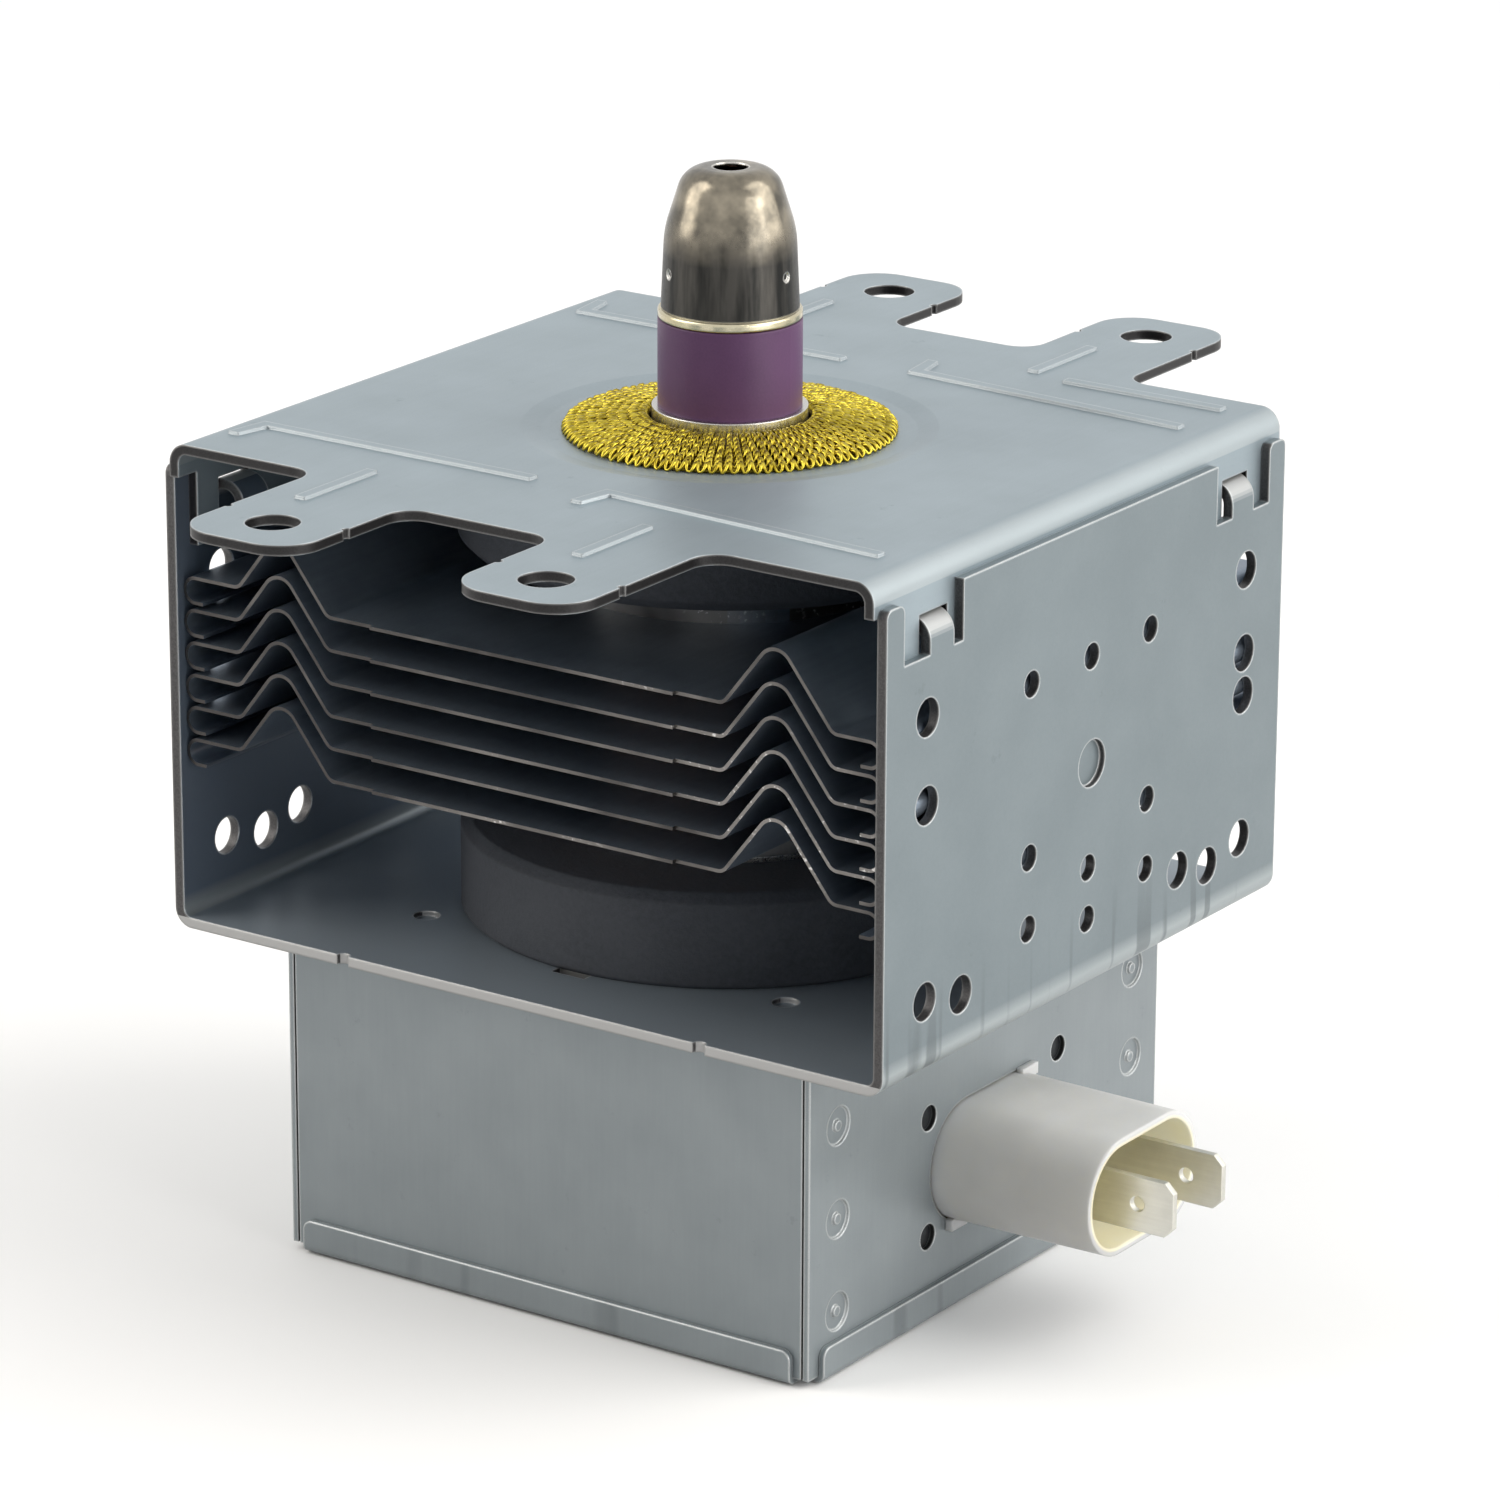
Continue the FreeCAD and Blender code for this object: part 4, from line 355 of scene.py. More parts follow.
# the yoke: colours, and where its wear marks and its painted light and shade lie on it
yoke = {
    "name": "zincYoke", "light": (0.196, 0.235, 0.253), "dark": (0.175, 0.212, 0.229),
    "streak": (0.05, 1.0, 1.0), "cut": (0.085, 0.082, 0.083), "rubAndShine": 0.7,
    # the inside is painted duller and bluer than the outside as painted shade, and its floor paler
    # as painted light
    "insideSide": yokeSide - 0.0011, "insideHeight": yokeFloor + 0.0015,
    "insideFade": (0.3, 0.7, 0.85, 0.70), "insideShadeTone": (0.145, 0.185, 0.25),
    "floorHeight": (yokeFloor + 0.0005, yokeFloor + 0.0016), "floorShare": 0.8,
    "floorLitTone": (0.33, 0.38, 0.43),
    # the tongues get a painted highlight over their bends
    "tongueSide": yokeSide - 0.0040, "tongueHeight": (plateTop - 0.0090, plateTop - 0.0050),
    "tongueFacing": (0.1, 0.5), "tongueHighlight": (0.46, 0.47, 0.47),
    # and so does the sheet on the outside of the lower folds
    "foldSide": yokeSide - 0.0018, "foldFade": (yokeFloor + 0.0038, yokeFloor + 0.0022, 0, 0.7),
    "foldHighlight": (0.42, 0.46, 0.47),
    # faint marks of the folding die along the lower edge of the walls
    "markStretch": (0.2, 1, 0.04), "markNoise": (420, 1), "markDepth": (0.57, 0.63, 0, 0.6),
    "markFade": (yokeFloor + 0.0110, yokeFloor + 0.0030), "markSide": yokeSide - 0.0005,
    "markTone": 0.6,
    # cut faces: front and back rims, walls of the holes and notches, holes in the floor
    "rimFacing": (0.3, 0.6), "holeHeight": (yokeFloor + 0.0035, plateTop - 0.0099),
    "floorSide": yokeSide - 0.0025,
}


def yokeWearAndShade(tree, place, tone, colour):
    # painted shade inside the yoke: duller and bluer
    inside = both(tree, below(tree, place["Side"], yoke["insideSide"]),
                  above(tree, place["Height"], yoke["insideHeight"]))
    inside = both(tree, inside, makeRamp(tree, tone, *yoke["insideFade"]))
    colour = makeMix(tree, inside, colour, yoke["insideShadeTone"])
    # painted light on the inside floor
    floor = both(tree, within(tree, place["Height"], *yoke["floorHeight"]),
                 above(tree, place["FaceUp"], facing["square"]))
    colour = makeMix(tree, both(tree, floor, yoke["floorShare"]), colour, yoke["floorLitTone"])
    # painted highlight over the tongues' bends
    tongue = both(tree, above(tree, place["Side"], yoke["tongueSide"]),
                  within(tree, place["Height"], *yoke["tongueHeight"]),
                  makeRamp(tree, place["FaceUp"], *yoke["tongueFacing"]))
    colour = makeMix(tree, tongue, colour, yoke["tongueHighlight"])
    # painted highlight on the outside of the lower folds
    fold = both(tree, above(tree, place["Side"], yoke["foldSide"]),
                makeRamp(tree, place["Height"], *yoke["foldFade"]))
    colour = makeMix(tree, fold, colour, yoke["foldHighlight"])
    lines = makeNoise(tree, makeStretch(tree, objectPlace(tree), yoke["markStretch"]),
                      *yoke["markNoise"])
    edge = both(tree, makeRamp(tree, place["Height"], *yoke["markFade"]),
                above(tree, place["FaceSide"], facing["nearly"]),
                above(tree, place["Side"], yoke["markSide"]))
    marks = both(tree, makeRamp(tree, lines, *yoke["markDepth"]), edge)
    return makeMix(tree, marks, colour, darker(yoke["dark"], yoke["markTone"]))


def yokeCuts(tree, place):
    rim = makeRamp(tree, place["FaceFront"], *yoke["rimFacing"])
    walls = both(tree, inSheet(tree, place["Side"], yokeSide, sheets["steel"]),
                 within(tree, place["Height"], *yoke["holeHeight"]),
                 below(tree, place["FaceSide"], facing["half"]))
    floorTop = yokeFloor + sheets["steel"]
    floor = both(tree, inSheet(tree, place["Height"], floorTop, sheets["steel"]),
                 below(tree, place["Side"], yoke["floorSide"]),
                 below(tree, place["FaceUp"], facing["half"]))
    # the front edge of the floor is painted pale
    paleEdge = both(tree, below(tree, place["Height"], floorTop),
                above(tree, place["FaceFront"], facing["partly"]))
    return either(tree, rim, walls, floor), paleEdge


# the top plate: the same zinc as the yoke, its colour painted lighter as painted light on the top
plate = {
    "name": "zincPlate", "light": (0.300, 0.360, 0.396), "dark": (0.269, 0.325, 0.357),
    "streak": (1.0, 0.05, 1.0), "cut": (0.022, 0.021, 0.022), "rubAndShine": 0.4,
    # the bends above the flanges get a painted highlight
    "bendFade": (plateSide - 0.0021, plateSide - 0.0011, 0, 0.55),
    "bendHeight": plateTop - 0.0026, "bendHighlight": (0.44, 0.48, 0.49),
    # cut faces: rims, ends of the flanges, and edges of the plate outside its pressed seat
    "rimFacing": (0.7, 0.85), "rimHeight": plateTop - 0.00004, "flangeHeight": plateTop - 0.0027,
    "edgeSide": plateSide - 0.0025, "seatReach": 0.0236,
}


def plateBendHighlight(tree, place, tone, colour):
    # painted highlight on the bends above the flanges
    bend = both(tree, makeRamp(tree, place["Side"], *plate["bendFade"]),
                above(tree, place["Height"], plate["bendHeight"]))
    return makeMix(tree, bend, colour, plate["bendHighlight"])


def plateCuts(tree, place):
    rim = both(tree, makeRamp(tree, place["FaceFront"], *plate["rimFacing"]),
               below(tree, place["Height"], plate["rimHeight"]))
    flanges = both(tree, inSheet(tree, place["Side"], plateSide, sheets["steel"]),
                   below(tree, place["Height"], plate["flangeHeight"]))
    edge = both(tree, inSheet(tree, place["Height"], plateTop, sheets["steel"]),
                below(tree, place["Side"], plate["edgeSide"]),
                above(tree, place["Reach"], plate["seatReach"]))
    return either(tree, rim, flanges, edge), None


# the filter box: its can, and the lid that it stands on, their zinc painted lighter than the
# yoke's as painted light
can = {
    "name": "zincBox", "light": (0.278, 0.310, 0.325), "dark": (0.247, 0.278, 0.293),
    "streak": (1.0, 1.0, 0.06), "cut": (0.03, 0.03, 0.03), "rubAndShine": 0.7,
    # the vent holes, and the gaps of the folded corners, both painted dark as painted shade
    "holeDepth": 0.026, "seamSide": (boxSide - 0.00098, boxSide - 0.00068),
}
lid = {
    "name": "zincLid", "light": can["light"], "dark": can["dark"], "streak": can["streak"],
    "rubAndShine": can["rubAndShine"],
    # marks of the drawing up its rim
    "markStretch": (1, 1, 0.15), "markNoise": (130, 2), "markDepth": (0.54, 0.60, 0, 0.55),
    "markTone": 0.62,
}


def boxCuts(tree, place):
    holes = both(tree, inSheet(tree, place["Side"], boxSide, sheets["box"]),
                 below(tree, place["Depth"], can["holeDepth"]))
    seam = both(tree, within(tree, place["Side"], *can["seamSide"]),
                above(tree, place["FaceSide"], facing["square"]))
    return either(tree, holes, seam), None


def lidWear(tree, place, tone, colour):
    bands = makeNoise(tree, makeStretch(tree, objectPlace(tree), lid["markStretch"]),
                      *lid["markNoise"])
    marks = makeRamp(tree, bands, *lid["markDepth"])
    return makeMix(tree, marks, colour, darker(lid["dark"], lid["markTone"]))


# cooling fins: rolled aluminium, its faces painted dark and bluish as painted shade, its sheared
# edges dull brown-grey, painted brighter towards +X as painted light, with a few painted glints
fin = {
    "metallic": 0.85, "streak": (1.0, 0.05, 1.0), "cloud": 90.0, "tone": (0.35, 0.65),
    # the faces: painted dark and bluish, as painted shade
    "light": (0.31, 0.365, 0.43), "dark": (0.215, 0.262, 0.325),
    # cut faces: the rims, and the small steps beside their middle parts
    "cutFacing": (0.6, 0.85), "stepSide": 0.0215,
    "long": (70, 3, 0.6), "short": (1400, 2, 0.6), "longFade": (-0.035, 0.02, 0.72, 1.08),
    "shearFade": (0.38, 0.66), "shearDark": (0.060, 0.057, 0.056),
    "shearLight": (0.21, 0.20, 0.19), "glintShort": (0.60, 0.68), "glintLong": (0.52, 0.62),
    "glint": (0.62, 0.61, 0.59),
    "rough": (0.3, 0.7, 0.30, 0.42), "bump": 0.15, "bumpDepth": 0.0002,
}


def finSheet():
    material, tree, shader = newMaterial("finAluminium", fin["light"], fin["metallic"])
    sheet = useGroup(tree, sheetGroup, Streak=fin["streak"], Cloud=fin["cloud"])
    place = useGroup(tree, placeGroup)
    step = both(tree, below(tree, place["Side"], fin["stepSide"]),
                above(tree, place["FaceSide"], facing["nearly"]))
    cut = either(tree, makeRamp(tree, place["FaceFront"], *fin["cutFacing"]), step)
    face = makeMix(tree, makeRamp(tree, sheet["Tone"], *fin["tone"]), fin["dark"], fin["light"])
    where = objectPlace(tree)
    # sheared edges painted brighter towards +X: painted light
    long = both(tree, makeNoise(tree, where, *fin["long"]),
                makeRamp(tree, makeSplit(tree, where)["X"], *fin["longFade"]))
    sheared = makeMix(tree, makeRamp(tree, long, *fin["shearFade"]), fin["shearDark"],
                      fin["shearLight"])
    short = makeNoise(tree, where, *fin["short"])
    # painted glints on the sheared edges
    glint = both(tree, makeRamp(tree, short, *fin["glintShort"]),
                 makeRamp(tree, long, *fin["glintLong"]))
    sheared = makeMix(tree, glint, sheared, fin["glint"])
    link(tree, makeMix(tree, cut, face, sheared), shader.inputs["Base Color"])
    link(tree, makeRamp(tree, sheet["Grain"], *fin["rough"]), shader.inputs["Roughness"])
    addBump(tree, shader, sheet["Tone"], fin["bump"], fin["bumpDepth"])
    return material


# what all the plain metals share, and then each of them with the pieces made of it
metal = {
    "cloud": 140.0, "edge": 0.0002, "tone": (0.38, 0.62), "edgeShare": 0.4, "edgeTone": 1.25,
    "grain": (0.3, 0.7), "smoother": 0.05, "rougher": 0.07, "bump": 0.06, "bumpDepth": 0.0001,
}
metals = {
    "bareCopper": {
        "light": (0.62, 0.34, 0.24), "dark": (0.45, 0.24, 0.16), "rough": 0.3,
        "streak": (1, 1, 0.1),
        "pieces": ("anode_block", "exhaust_tube", "antenna_lead", "left_choke_coil",
                   "right_choke_coil")},
    "softIron": {
        "light": (0.4, 0.4, 0.4), "dark": (0.3, 0.3, 0.3), "rough": 0.4, "streak": (1, 1, 0.1),
        "pieces": ("upper_pole_piece", "lower_pole_piece")},
    "nickelCup": {
        "light": (0.62, 0.61, 0.58), "dark": (0.5, 0.49, 0.47), "rough": 0.28,
        "streak": (0.3, 0.3, 0.04), "pieces": ("output_seal", "input_seal")},
    "brightRing": {
        "light": (0.60, 0.55, 0.40), "dark": (0.48, 0.42, 0.26), "rough": 0.18,
        "streak": (0.2, 0.2, 1), "pieces": ("antenna_seal", "rf_gasket")},
    "tinnedBlade": {
        "light": (0.73, 0.72, 0.66), "dark": (0.60, 0.59, 0.54), "rough": 0.40,
        "streak": (0.05, 1, 1), "pieces": ("left_terminal_blade", "right_terminal_blade")},
    "dullEarth": {
        "light": (0.07, 0.075, 0.08), "dark": (0.05, 0.053, 0.057), "rough": 0.5,
        "streak": (0.05, 1, 1), "pieces": ("earth_plate",)},
    "cathodeMetal": {
        "light": (0.4, 0.4, 0.42), "dark": (0.28, 0.28, 0.3), "rough": 0.45, "streak": (1, 1, 1),
        "pieces": ("cathode_filament", "upper_end_hat", "lower_end_hat", "cathode_side_lead",
                   "cathode_centre_lead")},
    "strapMetal": {
        "light": (0.6, 0.46, 0.38), "dark": (0.45, 0.35, 0.28), "rough": 0.35,
        "streak": (0.1, 0.1, 1),
        "pieces": ("upper_inner_strap", "upper_outer_strap", "lower_inner_strap",
                   "lower_outer_strap")},
}


def plainMetal(name, look):
    material, tree, shader = newMaterial(name, look["light"], 1.0)
    sheet = useGroup(tree, sheetGroup, Streak=look["streak"], Cloud=metal["cloud"])
    edge = useGroup(tree, edgeGroup, Radius=metal["edge"])
    colour = makeMix(tree, makeRamp(tree, sheet["Tone"], *metal["tone"]), look["dark"],
                     look["light"])
    # edges painted brighter: painted highlight
    bright = tuple(min(1, part * metal["edgeTone"]) for part in look["light"])
    colour = makeMix(tree, both(tree, edge["Edge"], metal["edgeShare"]), colour, bright)
    link(tree, colour, shader.inputs["Base Color"])
    rough = makeRamp(tree, sheet["Grain"], *metal["grain"], look["rough"] - metal["smoother"],
                     look["rough"] + metal["rougher"])
    link(tree, rough, shader.inputs["Roughness"])
    addBump(tree, shader, sheet["Grain"], metal["bump"], metal["bumpDepth"], edge["Normal"])
    return material


# the drawn cap: dark down its side with soft streaks, partly its own dark metal and partly a
# painted dark reflection, and its dome painted lighter and warm as a painted reflection of the
# lamps
cap = {
    "stretch": (1, 1, 0.12), "down": (620, 3, 0.55), "fine": (2600, 3, 0.6),
    "cloud": (260, 3, 0.55), "fade": (0.36, 0.64), "dome": (capTop - 0.0098, capTop - 0.0053),
    "sideDark": (0.024, 0.024, 0.023), "sideLight": (0.072, 0.068, 0.062),
    "domeDark": (0.130, 0.118, 0.096), "domeLight": (0.32, 0.283, 0.220),
    "edge": 0.0004, "edgeShare": 0.8, "edgeTone": (0.95, 0.93, 0.88),
    "rough": (0.3, 0.7, 0.34, 0.44), "domeSmooth": 0.17, "bump": 0.06, "bumpDepth": 0.00006,
}


def drawnCap():
    material, tree, shader = newMaterial("drawnCap", cap["domeLight"], 1.0)
    where = objectPlace(tree)
    down = makeNoise(tree, makeStretch(tree, where, cap["stretch"]), *cap["down"])
    fine = makeNoise(tree, where, *cap["fine"])
    cloud = makeNoise(tree, where, *cap["cloud"])
    # the dome painted lighter and warm above the side: painted reflection
    high = makeRamp(tree, useGroup(tree, placeGroup)["Height"], *cap["dome"])
    side = makeMix(tree, makeRamp(tree, down, *cap["fade"]), cap["sideDark"], cap["sideLight"])
    dome = makeMix(tree, makeRamp(tree, cloud, *cap["fade"]), cap["domeDark"], cap["domeLight"])
    edge = useGroup(tree, edgeGroup, Radius=cap["edge"])
    # edges painted near white: painted highlight
    colour = makeMix(tree, both(tree, edge["Edge"], cap["edgeShare"]),
                     makeMix(tree, high, side, dome), cap["edgeTone"])
    link(tree, colour, shader.inputs["Base Color"])
    rough = makeMath(tree, "SUBTRACT", makeRamp(tree, fine, *cap["rough"]),
                     both(tree, high, cap["domeSmooth"]))
    link(tree, rough, shader.inputs["Roughness"])
    addBump(tree, shader, makeMath(tree, "ADD", down, fine), cap["bump"], cap["bumpDepth"],
            edge["Normal"])
    return material


# what the fired ceramics share
ceramic = {
    "specular": 0.3, "fine": (3800, 3, 0.7), "broad": (120, 3, 0.5), "fade": (0.36, 0.64),
    "grain": (0.3, 0.7), "smoother": 0.06, "rougher": 0.08, "edge": 0.0003, "bump": 0.12,
    "bumpDepth": 0.00008,
}
# each ceramic, where speckle is the fine grain's share in the tone
ceramics = {
    "violetCeramic": {
        "light": (0.126, 0.056, 0.134), "dark": (0.098, 0.042, 0.106), "rough": 0.38,
        "speckle": 0.35, "piece": "output_ceramic"},
    "whiteCeramic": {
        "light": (0.7, 0.69, 0.67), "dark": (0.62, 0.61, 0.59), "rough": 0.5,
        "speckle": 0.4, "piece": "stem_ceramic"},
    "capacitorCeramic": {
        "light": (0.36, 0.20, 0.11), "dark": (0.27, 0.14, 0.07), "rough": 0.5,
        "speckle": 0.4, "piece": "capacitor_ceramic"},
}


def ceramicBody(name, look):
    material, tree, shader = newMaterial(name, look["light"], 0.0)
    shader.inputs["Specular IOR Level"].default_value = ceramic["specular"]
    where = objectPlace(tree)
    fine = makeNoise(tree, where, *ceramic["fine"])
    broad = makeNoise(tree, where, *ceramic["broad"])
    tone = makeMath(tree, "ADD", both(tree, fine, look["speckle"]),
                    both(tree, broad, 1 - look["speckle"]))
    colour = makeMix(tree, makeRamp(tree, tone, *ceramic["fade"]), look["dark"], look["light"])
    link(tree, colour, shader.inputs["Base Color"])
    rough = makeRamp(tree, fine, *ceramic["grain"], look["rough"] - ceramic["smoother"],
                     look["rough"] + ceramic["rougher"])
    link(tree, rough, shader.inputs["Roughness"])
    edge = useGroup(tree, edgeGroup, Radius=ceramic["edge"])
    addBump(tree, shader, fine, ceramic["bump"], ceramic["bumpDepth"], edge["Normal"])
    return material


# ring magnets and choke cores: pressed grey-black powder
ferrite = {
    "specular": 0.2, "fine": (1500, 6, 0.72), "broad": (90, 3, 0.5),
    "fade": (0.35, 0.68), "dark": (0.060, 0.065, 0.075), "light": (0.088, 0.094, 0.107),
    "patch": (0.4, 0.7, 0, 0.4), "patchTone": (0.098, 0.104, 0.117),
    "edge": 0.0006, "edgeShare": 0.2, "edgeTone": (0.08, 0.08, 0.085),
    "rough": (0.3, 0.7, 0.62, 0.85), "bump": 0.5, "bumpDepth": 0.0003,
}


def ferriteBody():
    material, tree, shader = newMaterial("sinteredFerrite", ferrite["light"], 0.0)
    shader.inputs["Specular IOR Level"].default_value = ferrite["specular"]
    where = objectPlace(tree)
    fine = makeNoise(tree, where, *ferrite["fine"])
    broad = makeNoise(tree, where, *ferrite["broad"])
    edge = useGroup(tree, edgeGroup, Radius=ferrite["edge"])
    colour = makeMix(tree, makeRamp(tree, fine, *ferrite["fade"]), ferrite["dark"],
                     ferrite["light"])
    colour = makeMix(tree, makeRamp(tree, broad, *ferrite["patch"]), colour, ferrite["patchTone"])
    colour = makeMix(tree, both(tree, edge["Edge"], ferrite["edgeShare"]), colour,
                     ferrite["edgeTone"])
    link(tree, colour, shader.inputs["Base Color"])
    link(tree, makeRamp(tree, fine, *ferrite["rough"]), shader.inputs["Roughness"])
    addBump(tree, shader, fine, ferrite["bump"], ferrite["bumpDepth"], edge["Normal"])
    return material


# the connector's shroud: pale moulding, yellower inside its oval mouth, and painted very pale
# there as painted light coming through the plastic
shroud = {
    "subsurface": 0.4, "radius": (0.008, 0.0075, 0.006), "scale": 0.5,
    "fine": (2400, 3, 0.6), "broad": (70, 3, 0.5), "fade": (0.35, 0.65),
    # the oval mouth: height of its middle, half its straight part, and the radius of its ends
    "middle": (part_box("connector_housing")[0].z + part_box("connector_housing")[1].z) / 2,
    "straight": 0.0047, "mouth": (0.0064, 0.0061),
    "insideDark": (0.96, 0.88, 0.58), "insideLight": (0.98, 0.94, 0.74),
    "outsideDark": (0.61, 0.615, 0.61), "outsideLight": (0.71, 0.715, 0.705),
    "rough": (0.3, 0.7, 0.36, 0.5), "edge": 0.0004, "bump": 0.07, "bumpDepth": 0.0001,
}


def shroudPlastic():
    material, tree, shader = newMaterial("creamPlastic", shroud["outsideLight"], 0.0)
    shader.inputs["Subsurface Weight"].default_value = shroud["subsurface"]
    shader.inputs["Subsurface Radius"].default_value = shroud["radius"]
    shader.inputs["Subsurface Scale"].default_value = shroud["scale"]
    where = objectPlace(tree)
    fine = makeNoise(tree, where, *shroud["fine"])
    fade = makeRamp(tree, makeNoise(tree, where, *shroud["broad"]), *shroud["fade"])
    # distance from the oval's middle line
    place = makeSplit(tree, where)
    up = makeMath(tree, "ABSOLUTE", makeMath(tree, "SUBTRACT", place["Z"], shroud["middle"]))
    beside = makeMath(tree, "SUBTRACT", makeMath(tree, "ABSOLUTE", place["Y"]),
                      shroud["straight"])
    reach = makeLength(tree, up, either(tree, beside, 0.0))
    # inside the mouth painted very pale: painted light through the plastic
    inside = makeMix(tree, fade, shroud["insideDark"], shroud["insideLight"])
    outside = makeMix(tree, fade, shroud["outsideDark"], shroud["outsideLight"])
    colour = makeMix(tree, makeRamp(tree, reach, *shroud["mouth"]), outside, inside)
    link(tree, colour, shader.inputs["Base Color"])
    link(tree, makeRamp(tree, fine, *shroud["rough"]), shader.inputs["Roughness"])
    edge = useGroup(tree, edgeGroup, Radius=shroud["edge"])
    addBump(tree, shader, fine, shroud["bump"], shroud["bumpDepth"], edge["Normal"])
    return material


def dress():
    cover(zincSheet(yoke, yokeWearAndShade, yokeCuts), "yoke_frame")
    cover(zincSheet(plate, plateBendHighlight, plateCuts), "top_plate")
    cover(zincSheet(can, None, boxCuts), "filter_can")
    cover(zincSheet(lid, lidWear), "filter_lid")
    cover(finSheet(), *["cooling_fin_%d" % number for number in range(1, 7)])
    for name, look in metals.items():
        cover(plainMetal(name, look), *look["pieces"])
    for name, look in ceramics.items():
        cover(ceramicBody(name, look), look["piece"])
    cover(drawnCap(), "antenna_cap")
    cover(ferriteBody(), "upper_magnet", "lower_magnet", "left_ferrite_core",
          "right_ferrite_core")
    cover(shroudPlastic(), "connector_housing")


# the knitted ring round the antenna: rounds of looped wire over a core painted darker as painted
# shade between the wires
gasket = {
    # rounds of knitting, stitches in a round, points along a stitch, and radius of the wire
    "rows": 8, "stitches": 94, "parts": 12, "wire": 0.00027,
    # a stitch: how many rounds its loops reach, how they curl and pinch, and how its legs lie
    "wave": 0.80, "curl": 0.05, "pinch": 0.15, "lift": 0.00026, "lean": 0.5,
    # how uneven the stitches are: along and across the rounds, and up and down
    "sway": 0.08, "rise": 0.00009,
    # thickness of the wire at the bends of a stitch, and how it thins towards the axis
    "thin": 0.48, "fullRadius": 0.0186, "taper": 0.6,
    # share of the skin left free at its inner and outer edge
    "margin": 0.03,
    # radius and height over the plate's seat of the knitted skin, from inner to outer edge
    "skin": [(0.00922, 0.00120), (0.00940, 0.00182), (0.0101, 0.00188), (0.0150, 0.00120),
             (0.0178, 0.00068), (0.01872, 0.00038)],
    # the same for the lower layers of the knitting, seen only between the wires
    "core": [(0.00895, 0.0001), (0.00905, 0.00110), (0.0093, 0.00175), (0.0100, 0.00182),
             (0.0150, 0.00100), (0.0176, 0.00050), (0.0183, 0.0001)],
    "coreSides": 120,
}
# the gold-coloured wire, and the lower layers painted darker as painted shade between the wires
gold = {
    "blobs": (950, 2, 0.6), "fade": (0.36, 0.62), "fine": (6000, 2, 0.6),
    "rough": (0.3, 0.7, 0.26, 0.42),
    "wire": {"light": (0.66, 0.530, 0.060), "dark": (0.30, 0.225, 0.019)},
    "underShade": {"light": (0.22, 0.160, 0.020), "dark": (0.11, 0.078, 0.010)},
}


def goldWire(name, look):
    material, tree, shader = newMaterial(name, look["light"], 1.0)
    where = objectPlace(tree)
    blobs = makeRamp(tree, makeNoise(tree, where, *gold["blobs"]), *gold["fade"])
    link(tree, makeMix(tree, blobs, look["dark"], look["light"]), shader.inputs["Base Color"])
    fine = makeNoise(tree, where, *gold["fine"])
    link(tree, makeRamp(tree, fine, *gold["rough"]), shader.inputs["Roughness"])
    return material


def skinPoint(part):
    # the point at a share of the skin's length, 0 at the inner edge and 1 at the outer edge
    skin = gasket["skin"]
    lengths = [math.dist(a, b) for a, b in zip(skin, skin[1:])]
    left = max(0.0, min(1.0, part)) * sum(lengths)
    for (start, end), length in zip(zip(skin, skin[1:]), lengths):
        if left <= length:
            share = left / length
            return (start[0] + (end[0] - start[0]) * share, start[1] + (end[1] - start[1]) * share)
        left -= length
    return skin[-1]


def roundAxis(radius, angle, height):
    return Vector((radius * math.cos(angle), radius * math.sin(angle), gasketFoot + height))


def knitRow(row):
    # one round of knitting as a closed wavy wire, whose loops reach into the rounds beside it
    count, parts, margin = gasket["stitches"], gasket["parts"], gasket["margin"]
    points, widths = [], []
    for stitch in range(count):
        sway = random.uniform(-gasket["sway"], gasket["sway"])
        rise = random.uniform(-gasket["rise"], gasket["rise"])
        for part in range(parts):
            phase = part / parts * 2 * math.pi
            turn = stitch + part / parts + gasket["curl"] * math.sin(2 * phase) + sway
            turn += gasket["pinch"] * math.sin(phase)
            share = (row + 0.5 + gasket["wave"] * math.cos(phase) + sway) / gasket["rows"]
            radius, height = skinPoint(share * (1 - 2 * margin) + margin)
            # the legs of each stitch lie on top of the bends of the rows beside it
            height += rise - gasket["lift"] * math.cos(2 * phase + gasket["lean"])
            points.append(roundAxis(radius, turn * 2 * math.pi / count, height))
            width = gasket["thin"] + (1 - gasket["thin"]) * math.sin(phase) ** 2
            widths.append(width * (radius / gasket["fullRadius"]) ** gasket["taper"])
    return points, widths


def addPiece(name, mesh, material):
    piece = bpy.data.objects.new(name, mesh)
    bpy.context.scene.collection.objects.link(piece)
    mesh.materials.clear()
    mesh.materials.append(material)
    for face in mesh.polygons:
        face.use_smooth = True
    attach(piece, "root")
    return piece


def makeKnit(material):
    data = bpy.data.curves.new("knit", "CURVE")
    data.dimensions = "3D"
    data.bevel_depth = gasket["wire"]
    data.bevel_resolution = 1
    for row in range(gasket["rows"]):
        points, widths = knitRow(row)
        spline = data.splines.new("POLY")
        spline.points.add(len(points) - 1)
        for point, place, width in zip(spline.points, points, widths):
            point.co = (*place, 1)
            point.radius = width
        spline.use_cyclic_u = True
    curve = bpy.data.objects.new("knitCurve", data)
    bpy.context.scene.collection.objects.link(curve)
    bpy.context.view_layer.update()
    mesh = bpy.data.meshes.new_from_object(curve.evaluated_get(
        bpy.context.evaluated_depsgraph_get()))
    bpy.data.objects.remove(curve)
    knit = addPiece("knitted_gasket", mesh, material)
    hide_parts("rf_gasket")


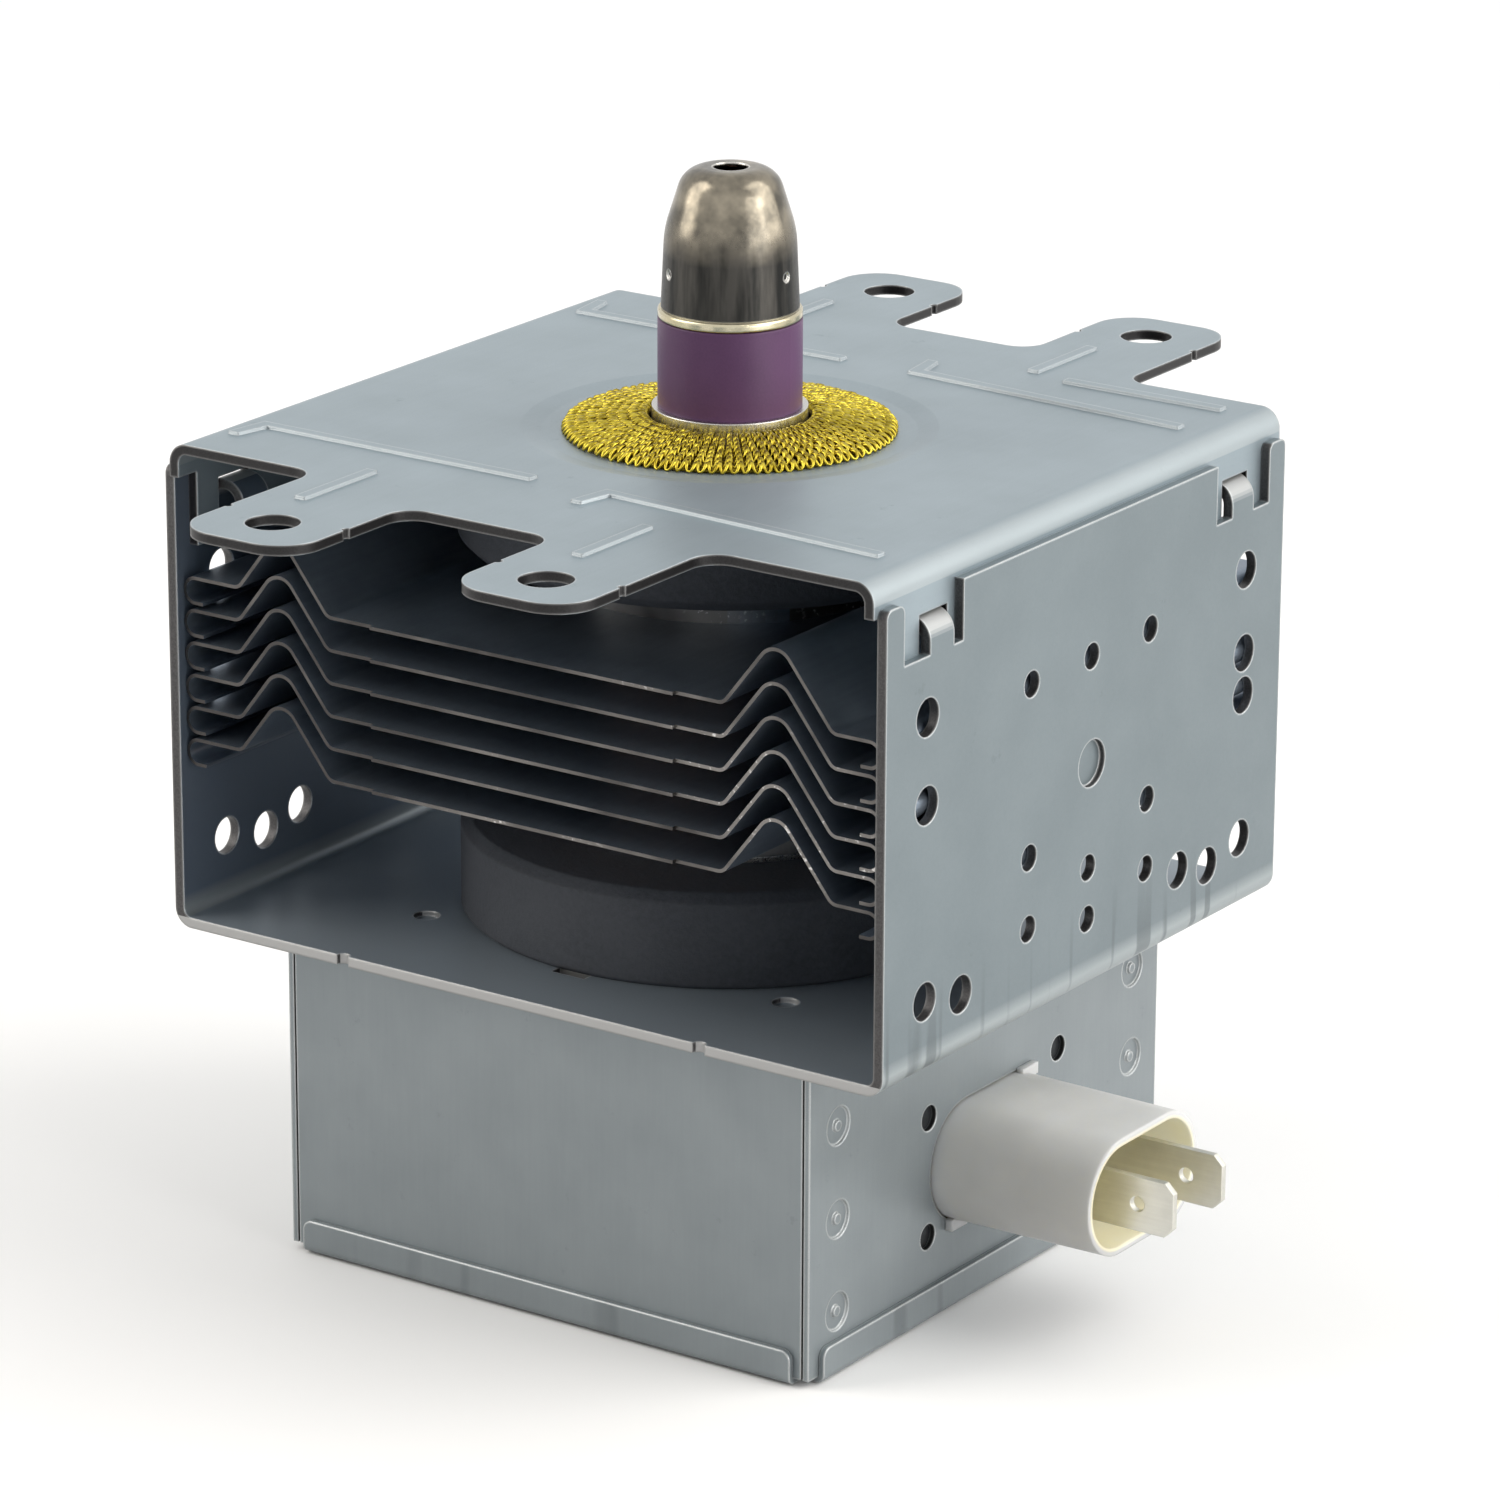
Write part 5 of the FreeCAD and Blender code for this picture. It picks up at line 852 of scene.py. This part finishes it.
def makeCore(material):
    build = bmesh.new()
    sides = gasket["coreSides"]
    rings = [[build.verts.new(roundAxis(radius, 2 * math.pi * i / sides, height))
              for i in range(sides)] for radius, height in gasket["core"]]
    for inner, outer in zip(rings, rings[1:] + rings[:1]):
        for i in range(sides):
            j = (i + 1) % sides
            build.faces.new((inner[i], outer[i], outer[j], inner[j]))
    bmesh.ops.recalc_face_normals(build, faces=build.faces)
    core = bpy.data.meshes.new("gasket_core")
    build.to_mesh(core)
    build.free()
    addPiece("gasket_core", core, material)


# a white room: a pale floor that passes into white further out, and three soft lamps
studio = {
    "floorHalf": 6.0, "floorGap": 0.0002, "floorRough": 0.9, "floorSpecular": 0.1,
    "floorLit": (0.50, 0.50, 0.515), "floorSeen": (0.97, 0.97, 0.97), "floorEnd": (0.35, 0.90),
    # the light of the room: strongest from above, and much weaker from the front than from behind
    "upLight": (0.0, 0.9, 0.85, 1.0), "front": (0.25, -0.968, 0.0),
    "frontFade": (-0.1, 0.75, 1.0, 0.10),
}
# each lamp: place, aim, size, watts and colour
lamps = {
    "keyLight": ((1.0, 0.50, 0.80), (0, 0, 0.05), (1.0, 1.5), 12, (1.0, 0.97, 0.92)),
    "fillLight": ((0.60, -0.05, 0.12), (0.03, 0.0, 0.04), (0.4, 0.4), 1.7, (1.0, 0.98, 0.95)),
    "leftLight": ((-0.95, -0.70, 0.80), (0, 0, 0.08), (0.8, 1.4), 11, (1.0, 0.95, 0.88)),
}


def seenDirectly(tree):
    # 1 for what the camera, reflections and glass see, 0 for the light that falls on the object
    path = newNode(tree, "LightPath", {}).outputs
    return either(tree, path["Is Camera Ray"], path["Is Glossy Ray"],
                  path["Is Transmission Ray"])


def makeFloor():
    half = studio["floorHalf"]
    mesh = bpy.data.meshes.new("floor")
    mesh.from_pydata([(-half, -half, 0), (half, -half, 0), (half, half, 0), (-half, half, 0)], [],
                     [(0, 1, 2, 3)])
    floor = bpy.data.objects.new("floor", mesh)
    floor.location.z = cadBox[0].z - studio["floorGap"]
    bpy.context.scene.collection.objects.link(floor)
    material, tree, shader = newMaterial("paleFloor", studio["floorSeen"], 0.0)
    shader.inputs["Roughness"].default_value = studio["floorRough"]
    shader.inputs["Specular IOR Level"].default_value = studio["floorSpecular"]
    seen = seenDirectly(tree)
    link(tree, makeMix(tree, seen, studio["floorLit"], studio["floorSeen"]),
         shader.inputs["Base Color"])
    far = makeRamp(tree, useGroup(tree, placeGroup)["Reach"], *studio["floorEnd"])
    glow = newNode(tree, "Emission", {}).outputs[0]
    blend = newNode(tree, "MixShader", {0: both(tree, seen, far), 1: shader.outputs[0], 2: glow})
    link(tree, blend.outputs[0], tree.nodes["Material Output"].inputs["Surface"])
    mesh.materials.append(material)


def makeRoom():
    world = bpy.data.worlds.new("studio")
    bpy.context.scene.world = world
    world.use_nodes = True
    tree = world.node_tree
    direction = newNode(tree, "TexCoord", {}).outputs["Generated"]
    light = makeRamp(tree, makeSplit(tree, direction)["Z"], *studio["upLight"])
    front = makeDot(tree, direction, studio["front"])
    light = both(tree, light, makeRamp(tree, front, *studio["frontFade"]))
    shade = newNode(tree, "CombineXYZ", {0: light, 1: light, 2: light}).outputs[0]
    background = tree.nodes["Background"].inputs
    link(tree, makeMix(tree, seenDirectly(tree), shade, (1, 1, 1)), background["Color"])
    background["Strength"].default_value = 1.0


def addLamp(name, place, aim, size, power, colour):
    data = bpy.data.lights.new(name, "AREA")
    data.shape = "RECTANGLE"
    data.size, data.size_y = size
    data.energy = power
    data.color = colour
    light = bpy.data.objects.new(name, data)
    light.location = place
    light.rotation_euler = (Vector(aim) - Vector(place)).to_track_quat("-Z", "Y").to_euler()
    bpy.context.scene.collection.objects.link(light)


makeCamera()
print("camera placed")
dress()
print("materials set")
makeKnit(goldWire("goldWire", gold["wire"]))
# the core painted darker: painted shade between the wires
makeCore(goldWire("goldUnderShade", gold["underShade"]))
print("gasket knitted")
makeFloor()
makeRoom()
for name, lamp in lamps.items():
    addLamp(name, *lamp)
print("studio lit")
bpy.context.scene.view_settings.view_transform = "Standard"
